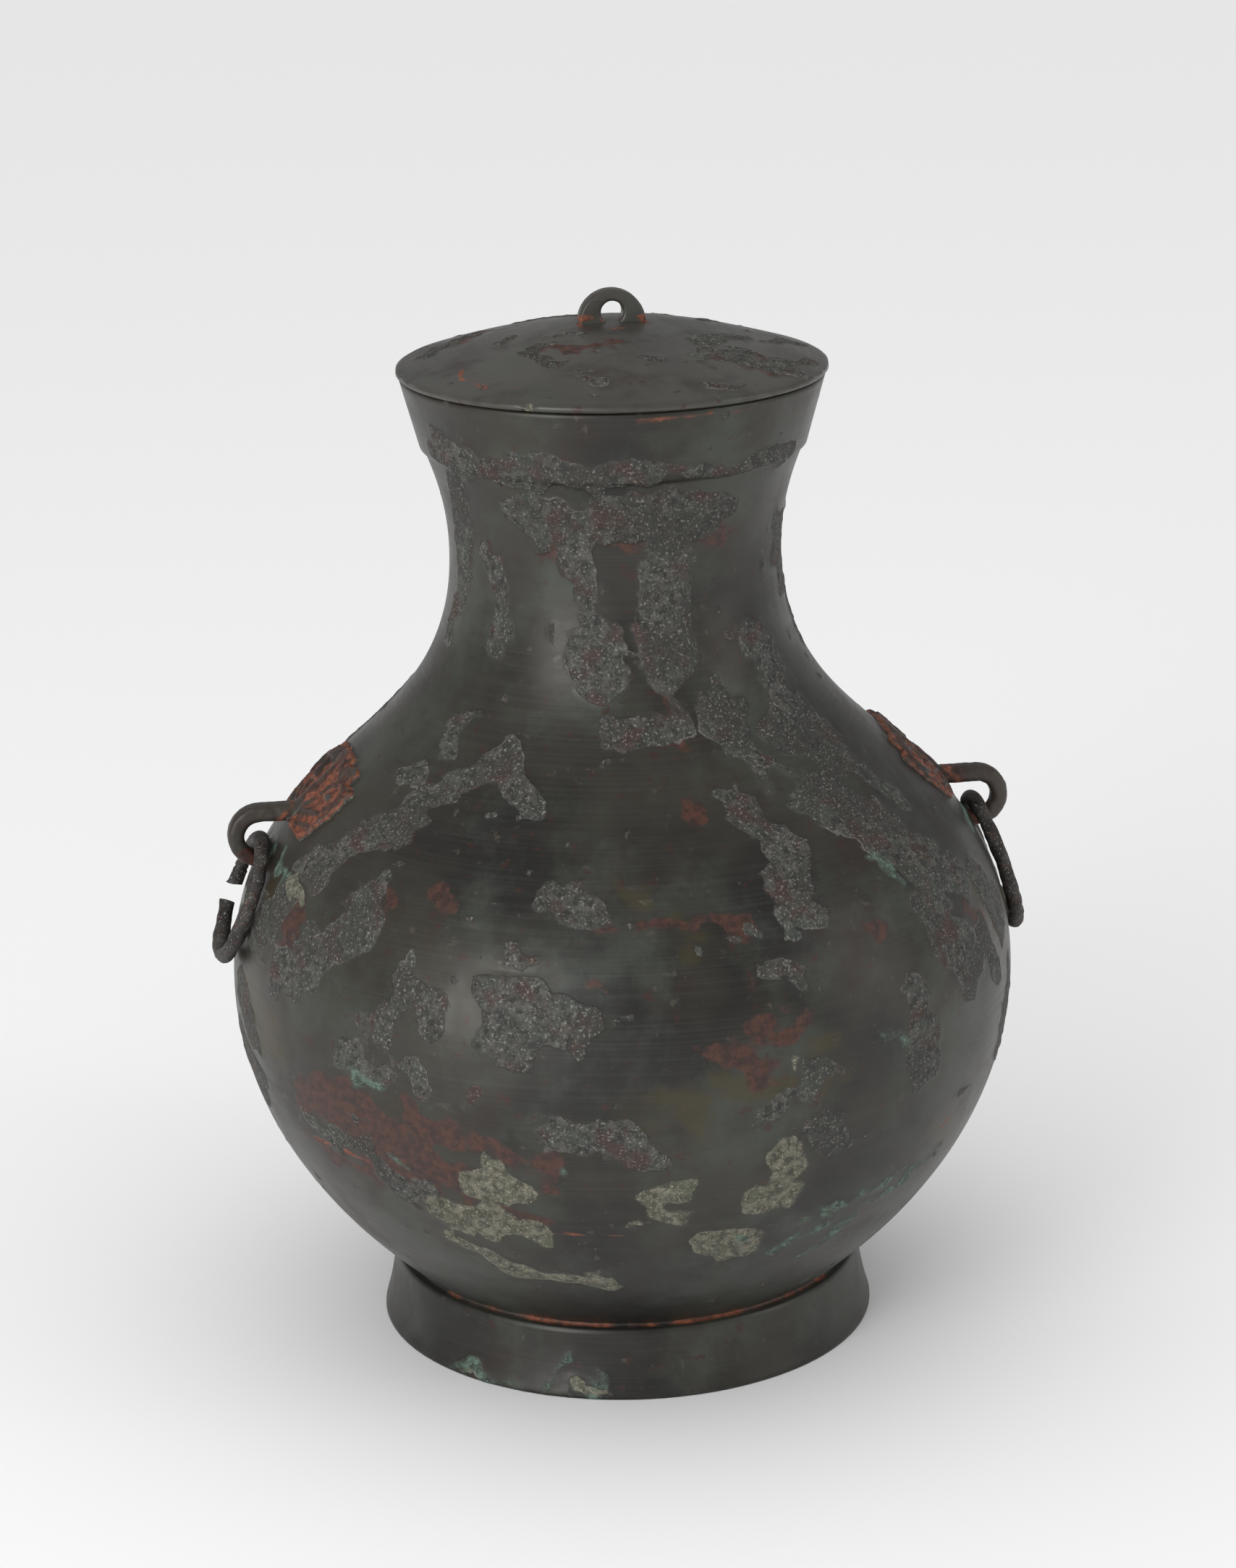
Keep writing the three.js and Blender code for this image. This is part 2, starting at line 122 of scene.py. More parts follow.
# the overhead daylight is all around, so it lights the floor and the jar and shows in no reflection
bpy.ops.object.light_add(type="SUN", location=(-1, -1, 3))
daylight = bpy.context.object
daylight.name = "daylight"
daylight.data.energy = 2.0
daylight.data.angle = math.radians(120)
daylight.visible_glossy = False
daylight.rotation_euler = (math.radians(12), math.radians(-10), 0)

# Jar body: tin bronze cast in one piece, with a foot ring, a hollow belly, a neck and a banded mouth.
# Turned smooth and burnished nearly black; crusts of corrosion stand proud of it, and its
# outline is drawn as one line and spun, as it was swept in the mould. Sizes in millimetres.
MM = 0.001
foot_radius, foot_top_radius, foot_height, foot_wall = 99.5, 94.0, 27.0, 4.0
recess_depth, groove_depth, groove_height = 21.0, 3.5, 1.5
belly_radius, belly_height = 154.6, 146.0
neck_radius, neck_height = 64.2, 315.0
band_radius, band_height, band_step = 72.8, 357.0, 1.6
mouth_radius, mouth_height = 81.5, 385.0
wall, lip_wall, floor_thickness = 2.4, 4.0, 3.0


def bend(corners, count):
    """Points along a Bezier curve through its control corners, without the last."""
    made = []
    for step in range(count):
        level = [Vector(corner) for corner in corners]
        while len(level) > 1:
            level = [a.lerp(b, step / count) for a, b in zip(level, level[1:])]
        made.append(tuple(level[0]))
    return made


groove_radius = foot_top_radius - groove_depth
body_base = foot_height + groove_height
lower_rise = belly_height - body_base
lower_reach = belly_radius - groove_radius
shoulder_rise = neck_height - belly_height
neck_rise = band_height - neck_height
foot_curve = [
    (foot_radius, 0),
    (foot_top_radius + 0.3 * (foot_radius - foot_top_radius), 0.4 * foot_height),
    (foot_top_radius, foot_height),
]
lower_curve = [
    (groove_radius, body_base),
    (groove_radius + 0.839 * lower_reach, body_base + 0.377 * lower_rise),
    (belly_radius, body_base + 0.76 * lower_rise),
    (belly_radius, belly_height),
]
shoulder_curve = [
    (belly_radius, belly_height),
    (belly_radius, belly_height + 0.535 * shoulder_rise),
    (neck_radius, belly_height + 0.51 * shoulder_rise),
    (neck_radius, neck_height),
]
neck_curve = [
    (neck_radius, neck_height),
    (neck_radius, neck_height + 0.45 * neck_rise),
    (neck_radius + 0.51 * (band_radius - neck_radius), neck_height + 0.74 * neck_rise),
    (band_radius, band_height),
]
outside = (
    [(foot_radius - 1.2, 0), (foot_radius - 0.4, 0.3)]
    + bend(foot_curve, 16)[1:]
    + [(foot_top_radius, foot_height), (foot_top_radius - 0.9, foot_height + 0.5)]
    + [(groove_radius + 0.8, foot_height + 0.6)]
    + bend(lower_curve, 84)
    + bend(shoulder_curve, 118)
    + bend(neck_curve, 25)
    + [(band_radius, band_height), (band_radius + 1.1, band_height + 0.4)]
    + bend([(band_radius + band_step, band_height + 1), (mouth_radius, mouth_height - 0.8)], 17)
    + [(mouth_radius, mouth_height - 0.8), (mouth_radius - 0.8, mouth_height)]
)


def inner_wall(curve, count):
    """A curve of the outline, moved in by the wall."""
    points = bend(curve, count) + [curve[-1]]
    made = []
    for index, (radius, height) in enumerate(points):
        before = points[max(index - 1, 0)]
        after = points[min(index + 1, count)]
        along = Vector((after[0] - before[0], after[1] - before[1])).normalized()
        made.append((radius - wall * along.y, height + wall * along.x))
    return made


floor_height = recess_depth + floor_thickness
inside = (
    [(0, floor_height), (groove_radius - 3 * wall, floor_height)]
    + inner_wall(lower_curve, 12)
    + inner_wall(shoulder_curve, 20)[1:]
    + inner_wall(neck_curve, 6)[1:]
    + [(mouth_radius - lip_wall, mouth_height - 0.6)]
)
under_foot = [
    (0, recess_depth),
    (foot_top_radius - foot_wall - 2, recess_depth),
    (foot_top_radius - foot_wall, recess_depth - 2),
    (foot_radius - foot_wall, 1),
    (foot_radius - foot_wall + 1, 0),
]
jar_profile = under_foot + outside + [(mouth_radius - lip_wall + 0.8, mouth_height)] + inside[::-1]


def spun(name, profile, steps):
    """Draws a line from one point and spins it about the upright axis into a closed piece."""
    bpy.ops.object.select_all(action="DESELECT")
    bpy.ops.mesh.primitive_plane_add(size=MM, location=(0, 0, 0))
    piece = bpy.context.object
    piece.name = name
    bpy.ops.object.mode_set(mode="EDIT")
    bpy.ops.mesh.select_all(action="SELECT")
    bpy.ops.mesh.merge(type="CENTER")
    bpy.ops.transform.translate(value=(profile[0][0] * MM, 0, profile[0][1] * MM))
    for here, there in zip(profile, profile[1:]):
        step = ((there[0] - here[0]) * MM, 0, (there[1] - here[1]) * MM)
        bpy.ops.mesh.extrude_region_move(TRANSFORM_OT_translate={"value": step})
    bpy.ops.mesh.select_all(action="SELECT")
    bpy.ops.mesh.spin(steps=steps, angle=math.tau, center=(0, 0, 0), axis=(0, 0, 1))
    bpy.ops.mesh.select_all(action="SELECT")
    bpy.ops.mesh.remove_doubles(threshold=0.02 * MM)
    bpy.ops.mesh.normals_make_consistent(inside=False)
    bpy.ops.object.mode_set(mode="OBJECT")
    return piece


def places(piece):
    """The piece's points, in millimetres."""
    flat = np.empty(3 * len(piece.data.vertices))
    piece.data.vertices.foreach_get("co", flat)
    return flat.reshape(-1, 3) / MM


def move_to(piece, points):
    """Gives the piece's points new places, in millimetres."""
    piece.data.vertices.foreach_set("co", (points * MM).ravel())
    piece.data.update()


def directions(piece):
    """The outward direction at each point of the piece."""
    flat = np.empty(3 * len(piece.data.vertices))
    piece.data.vertices.foreach_get("normal", flat)
    return flat.reshape(-1, 3)


def lumps(points, size, shift=0.0):
    """Smooth random lumps of one size in millimetres, from about -1 to 1."""
    away = Vector((shift, 0.7 * shift, 0.3 * shift))
    return np.array([noise.noise(Vector(point) / size + away) for point in points]) * 1.6


outline = np.array(outside)
steps_along = np.hypot(*np.diff(outline, axis=0).T)
outline_along = np.concatenate([[0], np.cumsum(steps_along)])
outline_turn = np.gradient(outline, axis=0)
outline_turn /= np.hypot(*outline_turn.T)[:, None]


def unrolled(points):
    """Turn about the axis, way up along the outline, rise above it and radius, for each point."""
    radius = np.hypot(points[:, 0], points[:, 1])
    turn = np.arctan2(points[:, 1], points[:, 0])
    flat = np.stack([radius, points[:, 2]], axis=1)
    nearest = np.empty(len(points), dtype=int)
    for start in range(0, len(points), 4000):
        part = flat[start:start + 4000]
        gap = ((part[:, None, :] - outline[None, :, :]) ** 2).sum(axis=2)
        nearest[start:start + 4000] = gap.argmin(axis=1)
    offset = flat - outline[nearest]
    way = outline_turn[nearest]
    along = outline_along[nearest] + (offset * way).sum(axis=1)
    rise = offset[:, 0] * way[:, 1] - offset[:, 1] * way[:, 0]
    return turn, along, rise, radius


def along_at(height):
    """Way up along the outline at a height."""
    return np.interp(height, outline[:, 1], outline_along)


def wrapped(angle):
    """The same angle, from minus half a turn to half a turn."""
    return (angle + math.pi) % math.tau - math.pi


def swayed(points, turn, along, radius, shift):
    """Turn and way up, swayed by a few millimetres, so that no patch has a drawn edge."""
    sideways = 4.2 * lumps(points, 19, shift) + 2.0 * lumps(points, 8, shift + 1)
    upwards = 4.2 * lumps(points, 19, shift + 2) + 2.0 * lumps(points, 8, shift + 3)
    return turn + sideways / np.maximum(radius, 5), along + upwards


# depth of a point that has no corrosion near it, in millimetres
bare = -9.0


def depth_in(strokes, turn, along, radius, level=along_at):
    """How deep each point lies inside patches drawn as strokes: a half width, and turns and heights."""
    depth = np.full(len(turn), bare)
    for half, *spine in strokes:
        corners = [(math.radians(degrees), level(height)) for degrees, height in spine]
        for (turn_a, along_a), (turn_b, along_b) in zip(corners, corners[1:] or corners):
            across = wrapped(turn - turn_a) * radius
            span = wrapped(turn_b - turn_a) * radius
            climb = along_b - along_a
            up = along - along_a
            share = np.clip((across * span + up * climb) / (span ** 2 + climb ** 2 + 0.01), 0, 1)
            depth = np.maximum(depth, half - np.hypot(across - share * span, up - share * climb))
    return depth


def set_fields(piece, **fields):
    """Keeps how deep each point lies in each kind of corrosion, for the finish to read."""
    for name in ("crust", "maroon", "cinnabar", "pale", "green", "ochre"):
        layer = piece.data.attributes.new(name, "FLOAT", "POINT")
        values = fields.get(name, np.full(len(piece.data.vertices), bare))
        layer.data.foreach_set("value", np.clip(values, bare, -bare))


# Each patch is a stroke: its half width in millimetres, then turns in degrees and heights along it.
# Turn -90 faces the front and -180 the left mask.
crusts = [
    # along the band and round the neck
    (5, (-160, 362), (-140, 361), (-120, 359)), (5, (-120, 360), (-96, 362)),
    (4.5, (-92, 362), (-60, 361)), (3, (-60, 361), (-38, 359)), (3, (-158, 374), (-154, 366)),
    (10, (-128, 343), (-105, 342), (-84, 344)), (9, (-84, 344), (-66, 342)),
    (6, (-158, 350), (-160, 326), (-166, 302)), (4.5, (-143, 320), (-143, 291)),
    (4, (-171, 298), (-170, 286)), (8, (-111, 336), (-107, 300)), (9, (-106, 298), (-104, 284)),
    (8, (-84, 336), (-84, 300)), (9, (-84, 300), (-83, 284)), (8, (-48, 288), (-42, 264)),
    (6, (-25, 326), (-22, 306)), (5, (-12, 300), (-8, 276)),
    # front of the shoulder
    (8, (-97, 264), (-90, 263), (-84, 266)), (3, (-82, 272), (-80, 264)),
    (4, (-73, 271), (-70, 262)), (7, (-68, 262), (-62, 248)), (6, (-72, 240), (-69, 226)),
    (9, (-68, 226), (-70, 206)), (10, (-50, 258), (-44, 244)), (6, (-40, 250), (-33, 228)),
    (11, (-53, 235), (-46, 222)), (14, (-46, 222), (-38, 208)), (9, (-38, 208), (-33, 198)),
    # left of the shoulder and belly
    (3.5, (-144, 261), (-144, 252)), (4.5, (-143, 240), (-134, 247)),
    (5.5, (-134, 247), (-125, 258)), (6, (-126, 257), (-122, 245)), (4, (-122, 245), (-119, 240)),
    (4.5, (-152, 244), (-149, 245)), (5, (-146, 235), (-141, 233)), (10, (-144, 231), (-152, 224)),
    (9, (-152, 224), (-158, 214)), (8, (-158, 214), (-162, 206)), (9, (-164, 196), (-165, 186)),
    (5, (-140, 214), (-142, 204)), (9, (-142, 202), (-144, 190)), (7, (-144, 190), (-148, 180)),
    (9, (-152, 184), (-157, 172)), (5, (-168, 190), (-171, 178)),
    (5, (-140, 148), (-137, 160), (-134, 174), (-131, 186)),
    (4, (-131, 186), (-127, 182), (-126, 168)), (5, (-141, 150), (-134, 147)),
    (4, (-129, 151), (-127, 148)), (4.5, (-111, 217), (-108, 215)), (4, (-105, 211), (-103, 208)),
    (8, (-117, 184), (-112, 182)), (8, (-116, 172), (-111, 168)), (4, (-106, 181), (-103, 178)),
    (2.5, (-105, 168)), (5, (-106, 172), (-105, 166)), (3, (-116, 200), (-113, 196)),
    (4, (-145, 118), (-139, 114)), (3, (-150, 114), (-146, 110)), (5, (-136, 106), (-134, 96)),
    (4.5, (-130, 98), (-128, 90)), (3, (-120, 143), (-120, 141)), (3.5, (-109, 130), (-106, 132)),
    (4.5, (-106, 133), (-99, 131)), (5.5, (-99, 131), (-96, 122)),
    # right of the belly
    (3, (-76, 186), (-72, 184)), (4, (-77, 140), (-78, 134)), (4.5, (-70, 150), (-72, 143)),
    (7, (-70, 128), (-68, 120)), (9, (-45, 196), (-42, 184)), (11, (-42, 182), (-39, 166)),
    (7, (-54, 168), (-52, 150)), (9, (-52, 152), (-50, 138)), (6, (-34, 176), (-30, 160)),
    (9, (-26, 190), (-22, 170)), (8, (-22, 150), (-24, 128)), (9, (-176, 128), (-168, 116)),
    (7, (-172, 150), (-166, 136)),
]
maroons = [
    (7, (-130, 343), (-122, 338)), (6, (-112, 340), (-104, 334)), (6, (-72, 340), (-64, 330)),
    (4, (-96, 334), (-84, 330)), (5, (-120, 332), (-112, 326)), (5, (-95, 332), (-88, 336)),
    (4, (-84, 282), (-83, 268)), (9, (-97, 263), (-85, 262)), (6, (-140, 214), (-138, 206)),
    (5, (-129, 214), (-127, 208)), (3, (-104, 208), (-101, 204)), (4, (-95, 206), (-89, 206)),
    (6, (-86, 242), (-82, 238)), (5, (-88, 206), (-80, 205)), (3.5, (-103, 190), (-101, 184)),
    (7, (-80, 175), (-75, 172)), (6, (-84, 160), (-77, 158)), (5, (-82, 165), (-78, 150)),
    (4, (-62, 196), (-58, 192)), (4, (-118, 176), (-113, 174)), (10, (-150, 128), (-138, 132)),
    (12, (-142, 124), (-128, 116)), (10, (-134, 118), (-124, 108)), (8, (-128, 132), (-118, 124)),
    (9, (-140, 110), (-130, 100)), (7, (-112, 122), (-109, 116)), (6, (-148, 106), (-138, 98)),
    (5, (-118, 100), (-112, 92)), (7, (-162, 196), (-156, 186)), (5, (-36, 190), (-30, 172)),
]
# thin lines of red where the turned surface was scraped, and the red in the groove above the foot
cinnabars = [
    (1.3, (-156, 107), (-146, 109), (-136, 106)), (0.9, (-84, 107), (-76, 107), (-70, 109)),
    (0.8, (-87, 88), (-76, 88)), (0.8, (-110, 88), (-92, 87)), (1.2, (-92, 382), (-72, 383)),
    (0.9, (-66, 382), (-60, 382)), (1.2, (-52, 98), (-38, 112)),
    (1.5, (-150, 28), (-120, 28), (-90, 28), (-60, 28), (-40, 28)), (2, (-136, 29), (-118, 29)),
    (1, (20, 28), (80, 28), (140, 28)),
]
pales = [
    (7, (-121, 108), (-114, 107)), (5, (-119, 114), (-117, 102)), (8, (-128, 92), (-118, 88)),
    (6, (-120, 96), (-114, 84)), (4.5, (-128, 78), (-120, 70)), (4.5, (-120, 68), (-110, 62)),
    (5, (-110, 62), (-102, 60)), (4, (-104, 66), (-101, 58)), (6.5, (-76, 118), (-75, 110)),
    (6.5, (-79, 103), (-75, 100)), (5.5, (-96, 107), (-91, 106)), (4.5, (-94, 98), (-90, 96)),
    (3.5, (-94, 106), (-94, 98)), (2.6, (-100, 93), (-97, 93)), (7, (-86, 80), (-79, 79)),
    (4, (-84, 74), (-78, 74)), (3.5, (-74, 158), (-75, 152)), (4, (-163, 200), (-160, 196)),
    (2, (-142, 3), (-134, 2)), (1.6, (-112, 4), (-106, 5)),
]
greens = [
    (1.7, (-139, 142)), (1.3, (-137, 144)), (1.4, (-129, 152)), (2.2, (-108, 117), (-107, 114)),
    (1.5, (-111, 130)), (4, (-138, 146), (-134, 143)), (2.5, (-133, 112), (-131, 108)),
    (3, (-74, 70), (-66, 78)), (3.5, (-68, 66), (-58, 76)), (3, (-66, 84), (-52, 96)),
    (2.6, (-72, 82), (-64, 90)), (3, (-56, 84), (-42, 96)), (2, (-80, 80), (-77, 76)),
    (3, (-143, 4), (-132, 2)), (2.6, (-132, 2), (-118, 1)), (2.4, (-118, 8), (-113, 14)),
    (2, (-106, 8), (-105, 11)), (2, (-112, 3), (-106, 2)), (4, (-50, 214), (-48, 206)),
    (3, (-60, 160), (-56, 152)), (3, (-172, 204), (-166, 202)), (4, (-12, 206), (-4, 202)),
    (4, (6, 204), (12, 200)), (4, (174, 204), (182, 203)),
]
ochres = [
    (7, (-71, 158), (-69, 146)), (8, (-84, 150), (-76, 144)), (6, (-90, 210), (-88, 200)),
    (6, (-168, 198), (-162, 204)), (9, (-30, 190), (-24, 160)), (5, (-100, 222), (-97, 216)),
    (12, (-166, 160), (-160, 140)), (7, (-46, 110), (-40, 100)), (10, (-14, 176), (-10, 140)),
    (9, (-96, 148), (-88, 140)),
]
# the back carries fewer and plainer patches of the same kinds
back = random.Random(11)
for _ in range(30):
    degrees = back.uniform(-4, 172)
    height = back.choice((back.uniform(45, 140), back.uniform(140, 230), back.uniform(230, 350)))
    half = back.uniform(3.5, 10)
    lean = back.uniform(-9, 9)
    crusts.append((half, (degrees, height), (degrees + lean, height - back.uniform(4, 26))))
for _ in range(9):
    degrees = back.uniform(4, 168)
    height = back.uniform(60, 150)
    maroons.append((back.uniform(6, 12), (degrees, height), (degrees + back.uniform(-12, 12), height - 10)))
    pales.append((back.uniform(3, 7), (degrees + 20, height - 25), (degrees + 24, height - 30)))
for _ in range(7):
    degrees = back.uniform(4, 168)
    height = back.uniform(8, 110)
    greens.append((back.uniform(1.5, 3.5), (degrees, height), (degrees + back.uniform(2, 8), height + 6)))

jar = spun("jar_body", jar_profile, 288)
points = places(jar)
turn, along, rise, radius = unrolled(points)
is_outside = (rise > -0.5) & (points[:, 2] > 0.2)
ragged = 1.9 * lumps(points, 10) + 1.5 * lumps(points, 4.5, 5)
finer = 1.6 * lumps(points, 6, 9) + 0.8 * lumps(points, 3, 3)
wide = lumps(points, 30, 8)
off_turn, off_along = swayed(points, turn, along, radius, 31)
crust = depth_in(crusts, off_turn, off_along, radius) + ragged + 1.3
# some stretches of crust have fallen away, and small islands of it stand beside the patches
crust -= 9 * np.clip(lumps(points, 15, 70) - 0.6, 0, 1)
islands = 7 * (lumps(points, 6, 80) - 0.84)
crust = np.maximum(crust, np.where((crust > bare) & (wide > -0.1), islands, bare))
maroon = depth_in(maroons, off_turn, off_along, radius) + 1.8 * ragged
maroon -= 9 * np.clip(lumps(points, 12, 75) - 0.5, 0, 1)
cinnabar = depth_in(cinnabars, turn, along, radius) + 0.45 * finer - 0.5 * np.clip(wide, 0, 1)
pale = depth_in(pales, off_turn, off_along, radius) + 0.8 * finer
green = depth_in(greens, off_turn, off_along, radius) + 1.1 * finer
# a plain strip of the burnished neck shows between the two runs of crust below the band
window = depth_in([(7, (-98, 326), (-98, 310))], turn, along, radius)
crust = np.minimum(crust, -window - 0.3 * ragged)
ochre = depth_in(ochres, off_turn, off_along, radius) + 2 * ragged
for kind in (crust, maroon, cinnabar, pale, green, ochre):
    kind[~is_outside] = bare
# the inside has thin crusts of its own, and the foot was cleaned
is_within = ~is_outside & (points[:, 2] > floor_height - 1)
crust[is_within] = 1.2 * ragged[is_within] - 1.5
on_foot = points[:, 2] < foot_height
crust[on_foot] = np.minimum(crust, ragged - 2.5)[on_foot]
crust_edge = 1.2


def plateau(depth):
    """Rises smoothly from 0 at a patch's edge to 1 a little inside it."""
    share = np.clip(depth / crust_edge, 0, 1)
    return share * share * (3 - 2 * share)


# crusts and salts stand up to half a millimetre proud, and the whole surface waves very slightly
bumps = lumps(points, 2.6, 2)
lift = plateau(crust) * (0.3 + 0.24 * bumps + 0.1 * lumps(points, 9, 4))
lift += plateau(pale) * (0.3 + 0.14 * bumps)
lift += plateau(green) * (0.2 + 0.14 * bumps)
lift -= plateau(maroon) * 0.06 * (1 + bumps)
lift += 0.12 * lumps(points, 55, 1) + 0.05 * lumps(points, 20, 6)
lift[~is_outside] *= 0.3
foot_wear = (points[:, 2] < 1.5) & (rise > -3)
lift[foot_wear] *= 0.4
move_to(jar, points + directions(jar) * lift[:, None])
set_fields(jar, crust=crust, maroon=maroon, cinnabar=cinnabar, pale=pale, green=green, ochre=ochre)
bpy.ops.object.shade_smooth()


def patinated_bronze(name, dark, light, gloss):
    """Burnished tin bronze under an old dark patina, with crusts and coloured corrosion.

    It gives the eye a soft sheen with fine marks of turning round the jar, and matt, pitted,
    grey-green crusts with pale rims, maroon and orange oxide, yellowish and green salts.
    """
    finish = bpy.data.materials.new(name)
    finish.use_nodes = True
    tree = finish.node_tree
    shader = tree.nodes["Principled BSDF"]
    here = add(tree, "ShaderNodeTexCoord").outputs["Object"]
    # the marks of turning run round the jar, so their place is squeezed upright
    squeezed = add(tree, "ShaderNodeMapping", {"Vector": here, "Scale": (10, 10, 1300)}).outputs[0]

    # name, grain in millimetres, detail, roughness; corrosion grains are about 0.4 mm, and the
    # speck is drawn at 1 mm so that it shows
    grains = (
        ("cloud", 70, 4, 0.55), ("blotch", 26, 5, 0.6), ("grit", 3.2, 6, 0.7), ("speck", 1.0, 2, 0.6),
        ("fading", 21, 3, 0.55), ("olive", 38, 4, 0.55), ("haze", 48, 5, 0.65), ("stain", 4.2, 3, 0.5),
        ("rust", 5.5, 3, 0.5), ("edge", 2.2, 5, 0.65), ("moss", 17, 3, 0.55), ("brown", 12, 3, 0.55),
        ("shadow", 30, 3, 0.55), ("lichen", 9, 3, 0.55), ("streak", 1000, 3, 0.6),
    )
    grain = {}
    for kind, size, detail, roughness in grains:
        place = squeezed if kind == "streak" else here
        inputs = {"Vector": place, "Scale": 1000 / size, "Detail": detail, "Roughness": roughness}
        grain[kind] = add(tree, "ShaderNodeTexNoise", inputs).outputs[0]
    smooth = {"interpolation_type": "SMOOTHSTEP"}
    mixed = {"data_type": "RGBA"}

    # the burnished ground: a grain, where it begins and is full, its strength and its colour
    share = add(tree, "ShaderNodeMapRange", {0: grain["cloud"], 1: 0.35, 2: 0.65}, **smooth).outputs[0]
    colour = add(tree, "ShaderNodeMix", {0: share, 6: linear(dark), 7: linear(light)}, **mixed).outputs[2]
    in_blotch = add(tree, "ShaderNodeMapRange", {0: grain["blotch"], 1: 0.4, 2: 0.55, 4: 0.6}, **smooth)
    ochre = add(tree, "ShaderNodeAttribute", attribute_name="ochre").outputs["Fac"]
    grain["ochre"] = add(tree, "ShaderNodeMath", {0: grain["blotch"], 1: 4.0, 2: ochre},
                         operation="MULTIPLY_ADD").outputs[0]
    washes = (
        ("blotch", 0.52, 0.7, 0.55, "#2c201c"),
        ("olive", 0.55, 0.72, 0.45, "#302d20"),
        ("haze", 0.46, 0.7, 0.65, "#41463f"),
        ("stain", 0.64, 0.72, in_blotch.outputs[0], "#4b453d"),
        ("rust", 0.36, 0.29, 0.6, "#3a221c"),
        ("streak", 0.4, 0.75, 0.1, "#55534e"),
        ("speck", 0.66, 0.72, 0.3, "#171614"),
        ("ochre", 1.5, 8.0, 0.6, "#3d3620"),
    )
    for kind, begins, full, strength, tint in washes:
        inputs = {0: grain[kind], 1: begins, 2: full, 4: strength}
        share = add(tree, "ShaderNodeMapRange", inputs, **smooth).outputs[0]
        colour = add(tree, "ShaderNodeMix", {0: share, 6: colour, 7: linear(tint)}, **mixed).outputs[2]
    inputs = {0: grain["streak"], 1: 0.3, 2: 0.7, 3: gloss - 0.03, 4: gloss + 0.03}
    turned = add(tree, "ShaderNodeMapRange", inputs, **smooth).outputs[0]
    dulled = add(tree, "ShaderNodeMapRange", {0: grain["blotch"], 1: 0.4, 2: 0.7, 4: 0.08}, **smooth)
    rough = add(tree, "ShaderNodeMath", {0: turned, 1: dulled.outputs[0]}, operation="ADD").outputs[0]
    height = add(tree, "ShaderNodeMath", {0: grain["streak"], 1: 0.006}, operation="MULTIPLY").outputs[0]
    metal = 0.3

    # name, edge raggedness and softness in mm, dark and light colour, roughness, relief in mm
    layers = (
        ("maroon", 3.8, 2.6, "#271915", "#46281d", 0.52, 0.05),
        ("cinnabar", 1.0, 0.9, "#44271c", "#7d452d", 0.6, 0.05),
        ("crust", 2.6, 0.7, "#21211e", "#4a4944", 0.72, 0.34),
        ("pale", 2.0, 0.35, "#38372f", "#6b695b", 0.82, 0.3),
        ("green", 3.2, 2.6, "#2f3631", "#566a5d", 0.8, 0.2),
    )
    # what lies on each of them, as the washes lie on the ground
    on_layer = {
        "crust": (
            ("moss", 0.52, 0.68, 0.5, "#384038"),
            ("brown", 0.5, 0.66, 0.8, "#38251f"),
            ("shadow", 0.46, 0.62, 0.7, "#2b2a26"),
            ("speck", 0.57, 0.7, 0.5, "#8f8e87"),
            ("speck", 0.42, 0.3, 0.6, "#151513"),
        ),
        "pale": (("lichen", 0.5, 0.65, 0.5, "#444a3b"), ("speck", 0.58, 0.68, 0.6, "#9c9880")),
        "green": (("speck", 0.56, 0.7, 0.45, "#86a591"),),
    }
    # the broken rim of a crust is pale in places, where its edge has flaked
    flaked = add(tree, "ShaderNodeMapRange", {0: grain["blotch"], 1: 0.5, 2: 0.62, 4: 0.7}, **smooth)
    for kind, raggedness, softness, low, high, kind_rough, relief in layers:
        edge = raggedness / 2
        depth = add(tree, "ShaderNodeAttribute", attribute_name=kind).outputs["Fac"]
        depth = add(tree, "ShaderNodeMath", {0: grain["edge"], 1: raggedness, 2: depth},
                    operation="MULTIPLY_ADD").outputs[0]
        # the edge is crisp in places and fades over some millimetres in others
        inputs = {0: grain["fading"], 1: 0.45, 2: 0.68, 3: edge + softness, 4: edge + softness + 2.2}
        fade = add(tree, "ShaderNodeMapRange", inputs, **smooth).outputs[0]
        covered = add(tree, "ShaderNodeMapRange", {0: depth, 1: edge, 2: fade}, **smooth).outputs[0]
        share = add(tree, "ShaderNodeMapRange", {0: grain["grit"], 1: 0.36, 2: 0.66}, **smooth).outputs[0]
        shade = add(tree, "ShaderNodeMix", {0: share, 6: linear(low), 7: linear(high)}, **mixed).outputs[2]
        for mark, begins, full, strength, tint in on_layer.get(kind, ()):
            inputs = {0: grain[mark], 1: begins, 2: full, 4: strength}
            share = add(tree, "ShaderNodeMapRange", inputs, **smooth).outputs[0]
            shade = add(tree, "ShaderNodeMix", {0: share, 6: shade, 7: linear(tint)}, **mixed).outputs[2]
        if kind in ("crust", "pale"):
            inputs = {0: depth, 1: edge + 1.1, 2: edge + 0.2, 4: flaked.outputs[0]}
            share = add(tree, "ShaderNodeMapRange", inputs, **smooth).outputs[0]
            inputs = {0: share, 6: shade, 7: linear("#85837a")}
            shade = add(tree, "ShaderNodeMix", inputs, **mixed).outputs[2]
        colour = add(tree, "ShaderNodeMix", {0: covered, 6: colour, 7: shade}, **mixed).outputs[2]
        inputs = {0: covered, 2: rough, 3: kind_rough}
        rough = add(tree, "ShaderNodeMix", inputs, data_type="FLOAT").outputs[0]
        metal = add(tree, "ShaderNodeMapRange", {0: covered, 3: metal, 4: 0.0}, **smooth).outputs[0]
        pits = add(tree, "ShaderNodeMath", {0: grain["speck"], 1: relief * 0.5}, operation="MULTIPLY")
